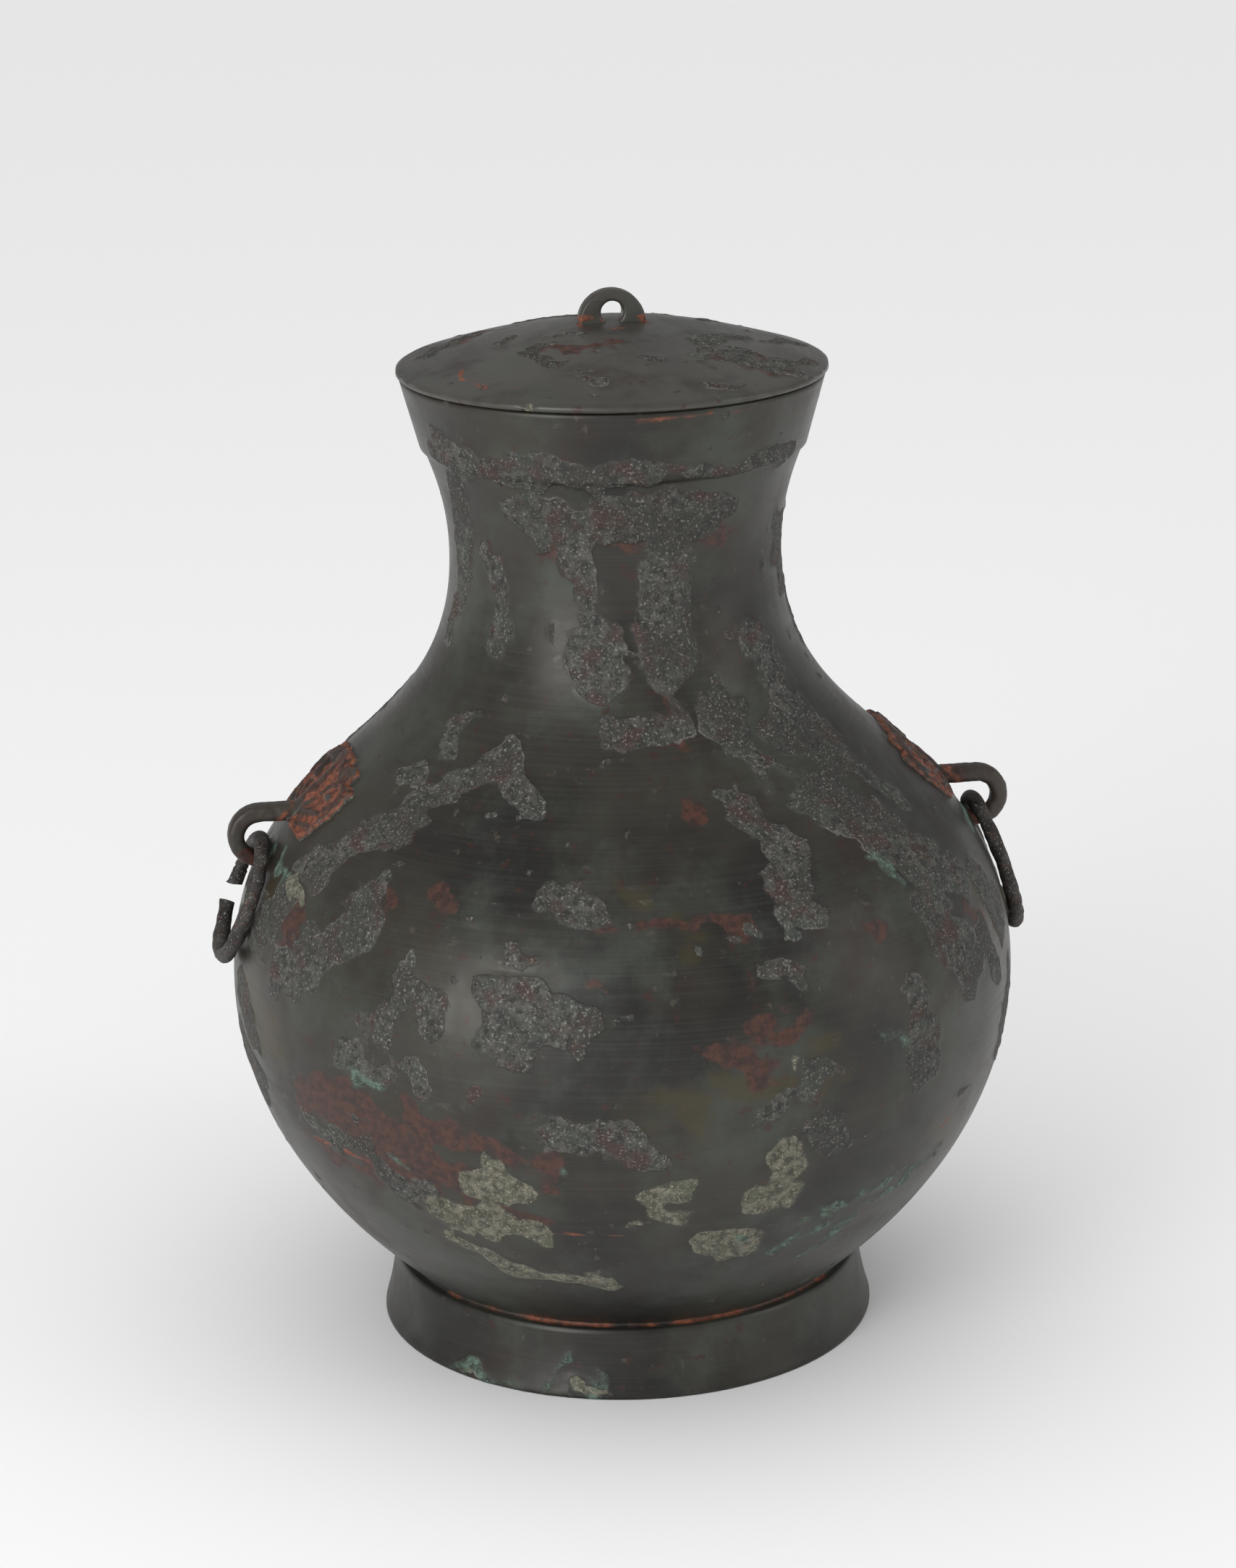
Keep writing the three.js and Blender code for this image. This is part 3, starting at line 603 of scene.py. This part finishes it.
        pits = add(tree, "ShaderNodeMath", {0: grain["grit"], 1: relief * 1.3, 2: pits.outputs[0]},
                   operation="MULTIPLY_ADD")
        height = add(tree, "ShaderNodeMath", {0: covered, 1: pits.outputs[0], 2: height},
                     operation="MULTIPLY_ADD").outputs[0]
    bump = add(tree, "ShaderNodeBump", {"Height": height, "Strength": 1.0, "Distance": MM})
    tree.links.new(colour, shader.inputs["Base Color"])
    tree.links.new(rough, shader.inputs["Roughness"])
    tree.links.new(metal, shader.inputs["Metallic"])
    tree.links.new(bump.outputs[0], shader.inputs["Normal"])
    return finish


jar_bronze = patinated_bronze("burnished tin bronze, dark patina", "#1f1e1c", "#34322b", 0.38)
jar.data.materials.clear()
jar.data.materials.append(jar_bronze)
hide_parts("vessel")
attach(jar, "jar")

# Animal masks: cast with the jar in low relief on the shoulder, each with a bar loop that springs from
# its nose and bends back under itself. Worn bronze ridges with orange cinnabar in the hollows.
mask_bottom, mask_length, mask_half_width, mask_ground = 212.5, 37.0, 31.5, 1.1
loop_hole_radius, loop_thickness, loop_width = 6.3, 7.0, 8.5
loop_tip_thickness, loop_tip_width = 5.0, 6.5
drawn_half_width, drawn_length = 29.0, 38.0
loop_bend = math.radians(205)
plate_back, plate_margin, remesh_grain = 0.6 * wall, 1.5, 0.42
# bars of the carving: across and up at both ends, half width, rise
carved_bars = (
    ((0, 17), (0, 2), 4.4, 3.2),
    ((0, 34), (0, 21), 4.6, 2.7),
    ((2, 33), (5, 32), 5.2, 2.6),
    ((12, 31), (17, 30), 4.4, 2.9),
    ((22, 12.5), (8.5, 8), 1.8, 2.6),
    ((10.5, 15), (6.5, 11), 2.2, 2.7),
    ((22, 6), (7, 1.6), 1.9, 2.5),
)
# rings of the carving: middle, radius, half width, rise, opening from and to in degrees
carved_rings = (
    ((19.5, 20.5), 6.6, 2.0, 2.9, 200, 300),
    ((14.5, 30.5), 2.6, 0.8, 3.3, 60, 150),
    ((4, 31), 3.2, 0.8, 2.95, 200, 300),
    ((8.6, 21), 2.8, 1.0, 2.0, 20, 120),
    ((8, 4.5), 2.4, 0.9, 2.1, 240, 330),
)


def domed(distance, half, height):
    """Rise of a rounded bar at a distance from its middle line."""
    return height * np.sqrt(np.clip(1 - (distance / half) ** 2, 0, None))


def mask_rise(across, up):
    """Rise of the carving above the jar, as in a mask drawn 29 mm to each side and 38 mm long."""
    corner_wear = 1.3
    taper = np.minimum(0, (up - 14) / 14) * (drawn_half_width - 24)
    steps = ((10, drawn_length), (21, 35.5), (drawn_half_width, 29))
    # the corners of the outline are rounded as worn wax would be
    edges = [np.stack([half + taper - across, top - up, up + 0.6]) for half, top in steps]
    rounded = [np.exp(-np.clip(edge, -30, 30) / corner_wear).sum(axis=0) for edge in edges]
    inside = np.max([-corner_wear * np.log(total) for total in rounded], axis=0)
    inside += 0.35 * np.sin(1.1 * up + 0.4 * across)
    ground = np.minimum(mask_ground, -1 + 1.6 * np.maximum(0, inside + 0.8))
    carved = ground.copy()
    for start, end, half, height in carved_bars:
        reach = (end[0] - start[0], end[1] - start[1])
        share = (across - start[0]) * reach[0] + (up - start[1]) * reach[1]
        share = np.clip(share / (reach[0] ** 2 + reach[1] ** 2), 0, 1)
        distance = np.hypot(across - start[0] - share * reach[0], up - start[1] - share * reach[1])
        carved = np.maximum(carved, domed(distance, half, height))
    for middle, size, half, height, opens, closes in carved_rings:
        around = np.degrees(np.arctan2(up - middle[1], across - middle[0])) % 360
        distance = np.abs(np.hypot(across - middle[0], up - middle[1]) - size)
        ring = domed(distance, half, height)
        carved = np.maximum(carved, np.where((around < opens) | (around > closes), ring, 0))
    eye = np.hypot((across - 17.8) / 3.4, (up - 19.6) / 2.6)
    carved = np.maximum(carved, domed(eye, 1, 2.6))
    # a fine raised line runs along the outline, and short cuts mark the horn lobes
    border = domed(np.abs(inside - 1.4), 0.8, 1.0) + ground
    carved = np.maximum(carved, border)
    cuts = 0.35 * np.maximum(0, np.sin(2.1 * across + 0.6 * up) - 0.5) * (up > 26) * (across > 10)
    return np.where(inside < 0.4, ground, carved - cuts)


def radius_at(height):
    """Radius of the jar's outside at a height."""
    return float(np.interp(height, outline[:, 1], outline[:, 0]))


def cast_mask(name, loop_height, standoff, side_turn):
    """A grid is given a back, wrapped on the shoulder, carved, and fused with its loop."""
    bpy.ops.object.select_all(action="DESELECT")
    bpy.ops.mesh.primitive_grid_add(x_subdivisions=150, y_subdivisions=96, size=1)
    plate = bpy.context.object
    plate.name = name
    bpy.ops.object.mode_set(mode="EDIT")
    bpy.ops.mesh.select_all(action="SELECT")
    bpy.ops.mesh.extrude_region_move(TRANSFORM_OT_translate={"value": (0, 0, -1)})
    bpy.ops.mesh.select_all(action="SELECT")
    bpy.ops.mesh.normals_make_consistent(inside=False)
    bpy.ops.object.mode_set(mode="OBJECT")
    drawn = places(plate) * MM
    across = 2 * (drawn_half_width + plate_margin) * drawn[:, 0]
    up = -plate_margin + (drawn_length + 2 * plate_margin) * (drawn[:, 1] + 0.5)
    height = np.where(drawn[:, 2] < -0.5, -plate_back, mask_rise(np.abs(across), up))
    along = along_at(mask_bottom) + up * mask_length / drawn_length
    on_outline = [np.interp(along, outline_along, outline[:, column]) for column in (0, 1)]
    on_outline = np.stack(on_outline, axis=1)
    way = [np.interp(along, outline_along, outline_turn[:, column]) for column in (0, 1)]
    way = np.stack(way, axis=1)
    azimuth = across * mask_half_width / drawn_half_width / on_outline[:, 0]
    out = on_outline[:, 0] + height * way[:, 1]
    level = on_outline[:, 1] - height * way[:, 0]
    move_to(plate, np.stack([out * np.cos(azimuth), out * np.sin(azimuth), level], axis=1))

    # the loop is a straight bar, drawn out in short lengths and then bent round the middle of its hole
    bpy.ops.object.select_all(action="DESELECT")
    middle = radius_at(loop_height) + standoff
    root = middle - radius_at(loop_height + loop_hole_radius + loop_thickness / 2) + wall / 2
    bent_length = loop_bend * (loop_hole_radius + loop_thickness / 2)
    bpy.ops.mesh.primitive_circle_add(vertices=24, radius=1, fill_type="NGON", rotation=(0, math.pi / 2, 0))
    bar = bpy.context.object
    bpy.ops.object.transform_apply(location=True, rotation=True, scale=True)
    # its section is a square with very round corners
    section = places(bar) * MM
    squared = np.abs(section) ** 0.62 * np.sign(section)
    move_to(bar, squared * np.array([0, 1, 1]) + np.array([-root, 0, 0]))
    bpy.ops.object.mode_set(mode="EDIT")
    bpy.ops.mesh.select_all(action="SELECT")
    lengths = 56
    for _ in range(lengths):
        step = (root + bent_length) * MM / lengths
        bpy.ops.mesh.extrude_region_move(TRANSFORM_OT_translate={"value": (step, 0, 0)})
    bpy.ops.mesh.select_all(action="SELECT")
    bpy.ops.mesh.normals_make_consistent(inside=False)
    bpy.ops.object.mode_set(mode="OBJECT")
    straight = places(bar)
    share = np.clip(straight[:, 0] / bent_length, 0, 1)
    thickness = loop_thickness + (loop_tip_thickness - loop_thickness) * share ** 2
    width = loop_width + (loop_tip_width - loop_width) * share ** 2
    reach = loop_hole_radius + thickness * (0.5 + 0.5 * straight[:, 2])
    angle = loop_bend * share
    shape = np.stack([
        middle + np.minimum(straight[:, 0], 0) + reach * np.sin(angle),
        straight[:, 1] * width / 2,
        loop_height + reach * np.cos(angle),
    ], axis=1)
    move_to(bar, shape)
    bar.select_set(True)
    plate.select_set(True)
    bpy.context.view_layer.objects.active = plate
    bpy.ops.object.join()
    remesh = plate.modifiers.new("fuse", "REMESH")
    remesh.mode = "VOXEL"
    remesh.voxel_size = remesh_grain * MM
    bpy.ops.object.modifier_apply(modifier=remesh.name)
    smooth = plate.modifiers.new("wear", "SMOOTH")
    smooth.factor = 0.5
    smooth.iterations = 2
    bpy.ops.object.modifier_apply(modifier=smooth.name)

    # worn lumps, and then cinnabar in the hollows, maroon on the loop and salts along the outline
    points = places(plate)
    points += directions(plate) * (0.1 * lumps(points, 2.4, 7) + 0.12 * lumps(points, 6, 8))[:, None]
    turn, along, rise, radius = unrolled(points)
    on_loop = (np.abs(points[:, 1]) < loop_width / 2 + 0.6) & (rise > 3.6)
    grain = lumps(points, 3.2, 12)
    wide = lumps(points, 9, 14)
    cinnabar = (2.0 - rise) * 2.6 + 1.5 * grain + 1.2 * wide
    is_root = points[:, 2] > loop_height
    cinnabar = np.where(on_loop, np.where(is_root, 6.2 - rise + 1.5 * grain, -4), cinnabar)
    outer_edge = np.abs(turn) * radius - mask_half_width
    maroon = np.where(on_loop, 9 - rise + 3 * wide, 2 + 2 * wide)
    crust = np.where(on_loop, bare, np.where(rise < 0.5, 1.5, wide - 1.6))
    green = np.where(on_loop, bare, np.where(outer_edge > -1.6, wide * 2 - 0.6, -6))
    turned_on = points @ np.array(Matrix.Rotation(side_turn, 3, "Z")).T
    move_to(plate, turned_on)
    set_fields(plate, cinnabar=cinnabar, maroon=maroon, crust=crust, green=green)
    bpy.ops.object.shade_smooth()
    plate.data.materials.clear()
    plate.data.materials.append(mask_bronze)
    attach(plate, "jar")


mask_bronze = patinated_bronze("worn tin bronze, cinnabar in the hollows", "#2b2723", "#46403a", 0.42)
cast_mask("mask_right", 205.0, 7.9, 0)
cast_mask("mask_left", 207.2, 7.2, math.pi)

# Lid: cast bronze, a shallow dome whose rim laps over the mouth, with a flange below that drops inside.
# The finger loop on top is cast with it. Old scrapes, a chip in the rim and olive crusts stay.
seat_gap, lid_overhang, lid_rim_height, lid_dome_rise, lid_wall = 0.3, 1.2, 2.7, 16.0, 2.6
flange_depth, flange_wall, flange_clearance = 10.0, 2.0, 1.0
finger_radius, finger_height, finger_thickness = 12.8, 12.4, 7.5
finger_hole_radius, finger_hole_height, finger_edge = 4.3, 3.7, 1.2
mouth_flare = (mouth_radius - band_radius - band_step) / (mouth_height - band_height - 1)
lip_radius = mouth_radius - lip_wall
seat = mouth_height + seat_gap
rim_radius = mouth_radius + lid_overhang
rim_top = seat + lid_rim_height
crown = rim_top + lid_dome_rise
dome = [
    (rim_radius, rim_top),
    (0.61 * rim_radius, rim_top + 0.65 * lid_dome_rise),
    (0.27 * rim_radius, crown),
    (0, crown),
]
flange_radius = lip_radius - flange_clearance
flange_foot_radius = flange_radius - mouth_flare * flange_depth
flange_foot = seat - flange_depth
under_dome = [(radius, height - lid_wall) for radius, height in bend(dome, 16)]
under_lid = [corner for corner in under_dome if corner[0] < flange_radius - 2 * flange_wall][::-1]
lid_profile = (
    [(0, crown - lid_wall)] + under_lid
    + [(flange_radius - flange_wall, seat + 1), (flange_foot_radius - flange_wall, flange_foot + 0.4),
       (flange_foot_radius - flange_wall + 0.4, flange_foot), (flange_foot_radius - 0.4, flange_foot),
       (flange_foot_radius, flange_foot + 0.4), (flange_radius, seat - 0.3), (flange_radius + 0.6, seat),
       (rim_radius - 2, seat), (rim_radius - 0.7, seat + 0.1), (rim_radius, seat + 0.8),
       (rim_radius, seat + 1.6), (rim_radius - 0.15, rim_top - 0.3)]
    + bend(dome, 62)[1:] + [(0, crown)]
)
lid = spun("lid_with_finger_loop", lid_profile, 288)

bpy.ops.object.select_all(action="DESELECT")
bpy.ops.mesh.primitive_circle_add(vertices=64, radius=1, fill_type="NOTHING", rotation=(math.pi / 2, 0, 0))
finger = bpy.context.object
bpy.ops.object.transform_apply(location=True, rotation=True, scale=True)
hole_edge = places(finger) * MM * finger_hole_radius + np.array([0, 0, finger_hole_height])
bpy.ops.object.mode_set(mode="EDIT")
bpy.ops.mesh.select_all(action="SELECT")
bpy.ops.mesh.extrude_region_move(TRANSFORM_OT_translate={"value": (0, 0, 0)})
bpy.ops.object.mode_set(mode="OBJECT")
# the outer edge of the loop is found along each direction from the hole; its foot sinks into the dome
foot_drop = -3.6
facing = np.arctan2(hole_edge[:, 2] - finger_hole_height, hole_edge[:, 0])
outer_edge = []
for angle in facing:
    away = (math.cos(angle), math.sin(angle))
    reach = 0.0
    while True:
        across, up = reach * away[0], finger_hole_height + reach * away[1]
        held = math.hypot(across / finger_radius, max(up, 0) / finger_height) < 1 and up > foot_drop
        if not held:
            break
        reach += 0.05
    outer_edge.append((across, 0, up))
both = np.concatenate([hole_edge, np.array(outer_edge)])
move_to(finger, both + np.array([0, -finger_thickness / 2, crown]))
bpy.ops.object.mode_set(mode="EDIT")
bpy.ops.mesh.select_all(action="SELECT")
bpy.ops.mesh.extrude_region_move(TRANSFORM_OT_translate={"value": (0, finger_thickness * MM, 0)})
bpy.ops.mesh.select_all(action="SELECT")
bpy.ops.mesh.normals_make_consistent(inside=False)
bpy.ops.object.mode_set(mode="OBJECT")
edge = finger.modifiers.new("worn edge", "BEVEL")
edge.width = finger_edge * MM
edge.segments = 4
edge.limit_method = "ANGLE"
edge.angle_limit = math.radians(50)
bpy.ops.object.modifier_apply(modifier=edge.name)

union = lid.modifiers.new("cast together", "BOOLEAN")
union.operation = "UNION"
union.object = finger
union.solver = "EXACT"
bpy.ops.object.select_all(action="DESELECT")
lid.select_set(True)
bpy.context.view_layer.objects.active = lid
bpy.ops.object.modifier_apply(modifier=union.name)
bpy.data.objects.remove(finger)

# patches on the lid: half width, then turns and distances from the middle
lid_crusts = [
    (7, (-40, 38), (-24, 42), (-12, 48)), (8, (-52, 52), (-42, 58)), (8, (-44, 62), (-36, 72)),
    (6, (-34, 66), (-22, 74)), (5, (-10, 60), (4, 72)), (4, (-140, 46), (-122, 52)),
    (3.5, (-118, 56), (-104, 60)), (4, (-146, 40), (-136, 34)), (3.5, (-84, 46), (-76, 50)),
    (3, (-150, 26), (-130, 22)), (3, (-70, 74), (-58, 78)), (4, (20, 40), (34, 52)),
    (5, (60, 50), (84, 58)), (4, (110, 30), (120, 44)), (5, (150, 58), (170, 66)),
    (3, (-176, 40), (-164, 44)),
]
lid_maroons = [
    (6, (-134, 38), (-112, 34)), (4, (-112, 32), (-98, 30)), (5, (-48, 66), (-40, 74)),
    (5, (150, 50), (165, 58)),
]
lid_cinnabars = [
    (1.2, (-157, 66), (-150, 72), (-143, 71)), (1.6, (-142, 73), (-138, 74)),
    (0.9, (-134, 70), (-126, 72)), (0.8, (-58, 78), (-48, 79)), (1.2, (-100, 13), (-60, 13)),
    (1.4, (-150, 14), (-170, 13)), (1.2, (10, 13), (-20, 13)),
]
points = places(lid)
turn = np.arctan2(points[:, 1], points[:, 0])
reach = np.hypot(points[:, 0], points[:, 1])
on_top = points[:, 2] > seat + 0.9
ragged = 2.0 * lumps(points, 9, 21) + 1.2 * lumps(points, 4, 25)
on_finger = (points[:, 2] > crown + 0.4) & (reach < finger_radius + 2)


def same(distance):
    """A distance from the middle, as it is: the lid's strokes are drawn in it."""
    return distance


off_turn, off_reach = swayed(points, turn, reach, reach, 51)
crust = depth_in(lid_crusts, off_turn, off_reach, reach, same) + ragged
crust -= 9 * np.clip(lumps(points, 12, 72) - 0.6, 0, 1)
crust = np.maximum(crust, 6 * (lumps(points, 6, 85) - 0.9))
maroon = depth_in(lid_maroons, off_turn, off_reach, reach, same) + 1.5 * ragged
cinnabar = depth_in(lid_cinnabars, turn, reach, reach, same) + 0.3 * ragged
for kind in (crust, maroon, cinnabar):
    kind[~on_top] = bare
    kind[on_finger] = bare
cinnabar[on_finger] = 2.5 - (points[on_finger, 2] - crown) + ragged[on_finger]
bumps = lumps(points, 2.6, 22)
lift = plateau(crust) * (0.3 + 0.2 * bumps) + 0.08 * lumps(points, 30, 24) + 0.03 * bumps
lift[~on_top] *= 0.2
# a chip in the rim, and a worn stretch at the right
chip_turn, chip_half, worn_turn, worn_half = -121, 1.9, -50, 20
from_chip = wrapped(turn - math.radians(chip_turn)) * rim_radius
chip = np.exp(-(from_chip / chip_half) ** 2 - ((rim_radius - reach) / 2) ** 2)
worn = np.clip(1 - np.abs(wrapped(turn - math.radians(worn_turn)) * rim_radius) / worn_half, 0, 1)
worn *= np.exp(-((rim_radius - reach) / 2.2) ** 2) * (0.6 + 0.6 * lumps(points, 4, 30))
moved = points + directions(lid) * lift[:, None]
moved[:, 2] -= np.where(on_top, 1.5 * chip + 0.5 * worn, 0)
drawn_in = np.where(points[:, 2] > seat - 0.1, chip + 0.3 * worn, 0)
moved[:, :2] *= (1 - drawn_in / np.maximum(reach, 1))[:, None]
move_to(lid, moved)
pale = np.where(chip > 0.3, 5.0, bare)
set_fields(lid, crust=crust, maroon=maroon, cinnabar=cinnabar, pale=pale)
bpy.ops.object.shade_smooth_by_angle(angle=math.radians(50))
# the lid's colours are lighter than the jar's: partly a browner bronze of its own, partly painted
# reflection of the pale room on its upturned top
lid_bronze_with_painted_reflection = patinated_bronze("burnished tin bronze, lid, lightened for painted reflection", "#3a3936", "#4a4843", 0.36)
lid.data.materials.clear()
lid.data.materials.append(lid_bronze_with_painted_reflection)
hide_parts("lid")
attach(lid, "jar")

# Free rings: round bars of cast bronze bent into rings, one in each loop, thinned and lumpy with rust.
# The left ring is broken at the back, and its lower end stands slightly outwards.
ring_wire = 3.05
ring_rust = bpy.data.materials.new("corroded ring bronze, rough black-brown")
ring_rust.use_nodes = True
tree = ring_rust.node_tree
shader = tree.nodes["Principled BSDF"]
here = add(tree, "ShaderNodeTexCoord").outputs["Object"]
# It gives the eye a rough, dark bar with brown rust and pale specks. The grain of the rust is finer
# than the render can show, so the speck is drawn at 0.8 mm.
inputs = {"Vector": here, "Scale": 1000 / 2.4, "Detail": 6.0, "Roughness": 0.65}
grit = add(tree, "ShaderNodeTexNoise", inputs).outputs[0]
inputs = {"Vector": here, "Scale": 1000 / 9, "Detail": 4.0, "Roughness": 0.6}
patch = add(tree, "ShaderNodeTexNoise", inputs).outputs[0]
speck = add(tree, "ShaderNodeTexNoise", {"Vector": here, "Scale": 1000 / 0.8, "Detail": 2.0}).outputs[0]
colour = linear("#242221")
for noise_value, begins, full, tint in (
    (patch, 0.38, 0.66, "#4a4744"),
    (grit, 0.55, 0.68, "#4b3228"),
    (speck, 0.6, 0.72, "#8b867c"),
):
    share = add(tree, "ShaderNodeMapRange", {0: noise_value, 1: begins, 2: full}).outputs[0]
    inputs = {0: share, 6: colour, 7: linear(tint)}
    colour = add(tree, "ShaderNodeMix", inputs, data_type="RGBA").outputs[2]
rough = add(tree, "ShaderNodeMapRange", {0: patch, 1: 0.35, 2: 0.65, 3: 0.48, 4: 0.78}).outputs[0]
bump = add(tree, "ShaderNodeBump", {"Height": grit, "Strength": 1.0, "Distance": 0.55 * MM})
tree.links.new(colour, shader.inputs["Base Color"])
tree.links.new(rough, shader.inputs["Roughness"])
tree.links.new(bump.outputs[0], shader.inputs["Normal"])
shader.inputs["Metallic"].default_value = 0.35


def free_ring(name, node, body, radius, tilt, opening=None):
    """A ring that hangs in its loop, leaning on the belly by its tilt in degrees.

    Its bar may be open: it then runs from the first angle of the opening to the last.
    """
    bpy.ops.object.select_all(action="DESELECT")
    bpy.ops.mesh.primitive_circle_add(vertices=24, radius=ring_wire * MM, fill_type="NGON")
    ring = bpy.context.object
    ring.name = name
    first, last = opening if opening else (0, 360)
    bpy.ops.object.mode_set(mode="EDIT")
    bpy.ops.mesh.select_all(action="SELECT")
    bpy.ops.transform.translate(value=(0, radius * MM, 0))
    start = math.radians(first - 90)
    bpy.ops.transform.rotate(value=start, orient_axis="X", center_override=(0, 0, 0))
    if not opening:
        bpy.ops.mesh.delete(type="ONLY_FACE")
        bpy.ops.mesh.select_all(action="SELECT")
    bpy.ops.mesh.spin(steps=150, angle=-math.radians(last - first), center=(0, 0, 0), axis=(1, 0, 0))
    bpy.ops.mesh.select_all(action="SELECT")
    bpy.ops.mesh.remove_doubles(threshold=0.02 * MM)
    bpy.ops.mesh.normals_make_consistent(inside=False)
    bpy.ops.object.mode_set(mode="OBJECT")
    points = places(ring)
    around = np.arctan2(points[:, 1], points[:, 2])
    spine = np.stack([np.zeros(len(points)), radius * np.sin(around), radius * np.cos(around)], axis=1)
    out = points - spine
    size = np.linalg.norm(out, axis=1)[:, None]
    out = np.divide(out, size, out=np.zeros_like(out), where=size > 0.01)
    wear = 0.05 * (np.sin(3 * around + 1) + np.sin(7 * around + 2))
    lumpy = 0.28 * lumps(points, 5, 40 + radius) + 0.16 * lumps(points, 2, 50)
    # the part that turns in the loop is worn smooth
    clear = np.clip((np.abs(around) - 0.35) / 0.3, 0, 1)
    thickness = size[:, 0] * (1 + wear) + (lumpy - 0.12) * clear
    thickness = np.where(size[:, 0] > 0.01, thickness, 0)
    if opening:
        # the two broken ends are rounded by rust
        from_first = wrapped(around - math.radians(first)) % math.tau
        from_last = wrapped(math.radians(last) - around) % math.tau
        from_end = np.clip(np.minimum(from_first, from_last) * radius / 1.6, 0, 1)
        thickness *= 0.55 + 0.45 * np.sqrt(from_end)
    shaped = spine + out * thickness[:, None]
    if opening:
        # the broken end at the back stands out a little and its corner is swollen
        nearness = np.clip(1 - np.abs(np.degrees(wrapped(around - math.radians(first)))) / 50, 0, 1)
        below = np.degrees(around) % 360 > first - 2
        below &= np.degrees(around) % 360 < first + 60
        shaped[:, 0] -= np.where(below, 2.0 * nearness ** 1.5, 0)
        bulge = np.exp(-((np.degrees(wrapped(around - math.radians(165)))) / 14) ** 2)
        shaped += out * (0.45 * bulge)[:, None]
    shaped[:, 2] -= radius
    swing = Matrix.Rotation(math.radians(tilt), 3, "Y")
    move_to(ring, shaped @ np.array(swing).T + np.array(pins[body]) / MM)
    bpy.ops.object.shade_smooth()
    ring.data.materials.clear()
    ring.data.materials.append(ring_rust)
    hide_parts(node)
    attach(ring, body)


# each ring turns about the pin of its joint
pins = {joint["child"]: joint["pos_m"] for joint in frame["joints"]}
free_ring("free_ring_right", "ring_right", "right_ring", radius=26.4, tilt=-17.0)
free_ring("free_ring_left", "ring_left", "left_ring", radius=24.0, tilt=21.75, opening=(97, 440))

bpy.ops.object.select_all(action="DESELECT")
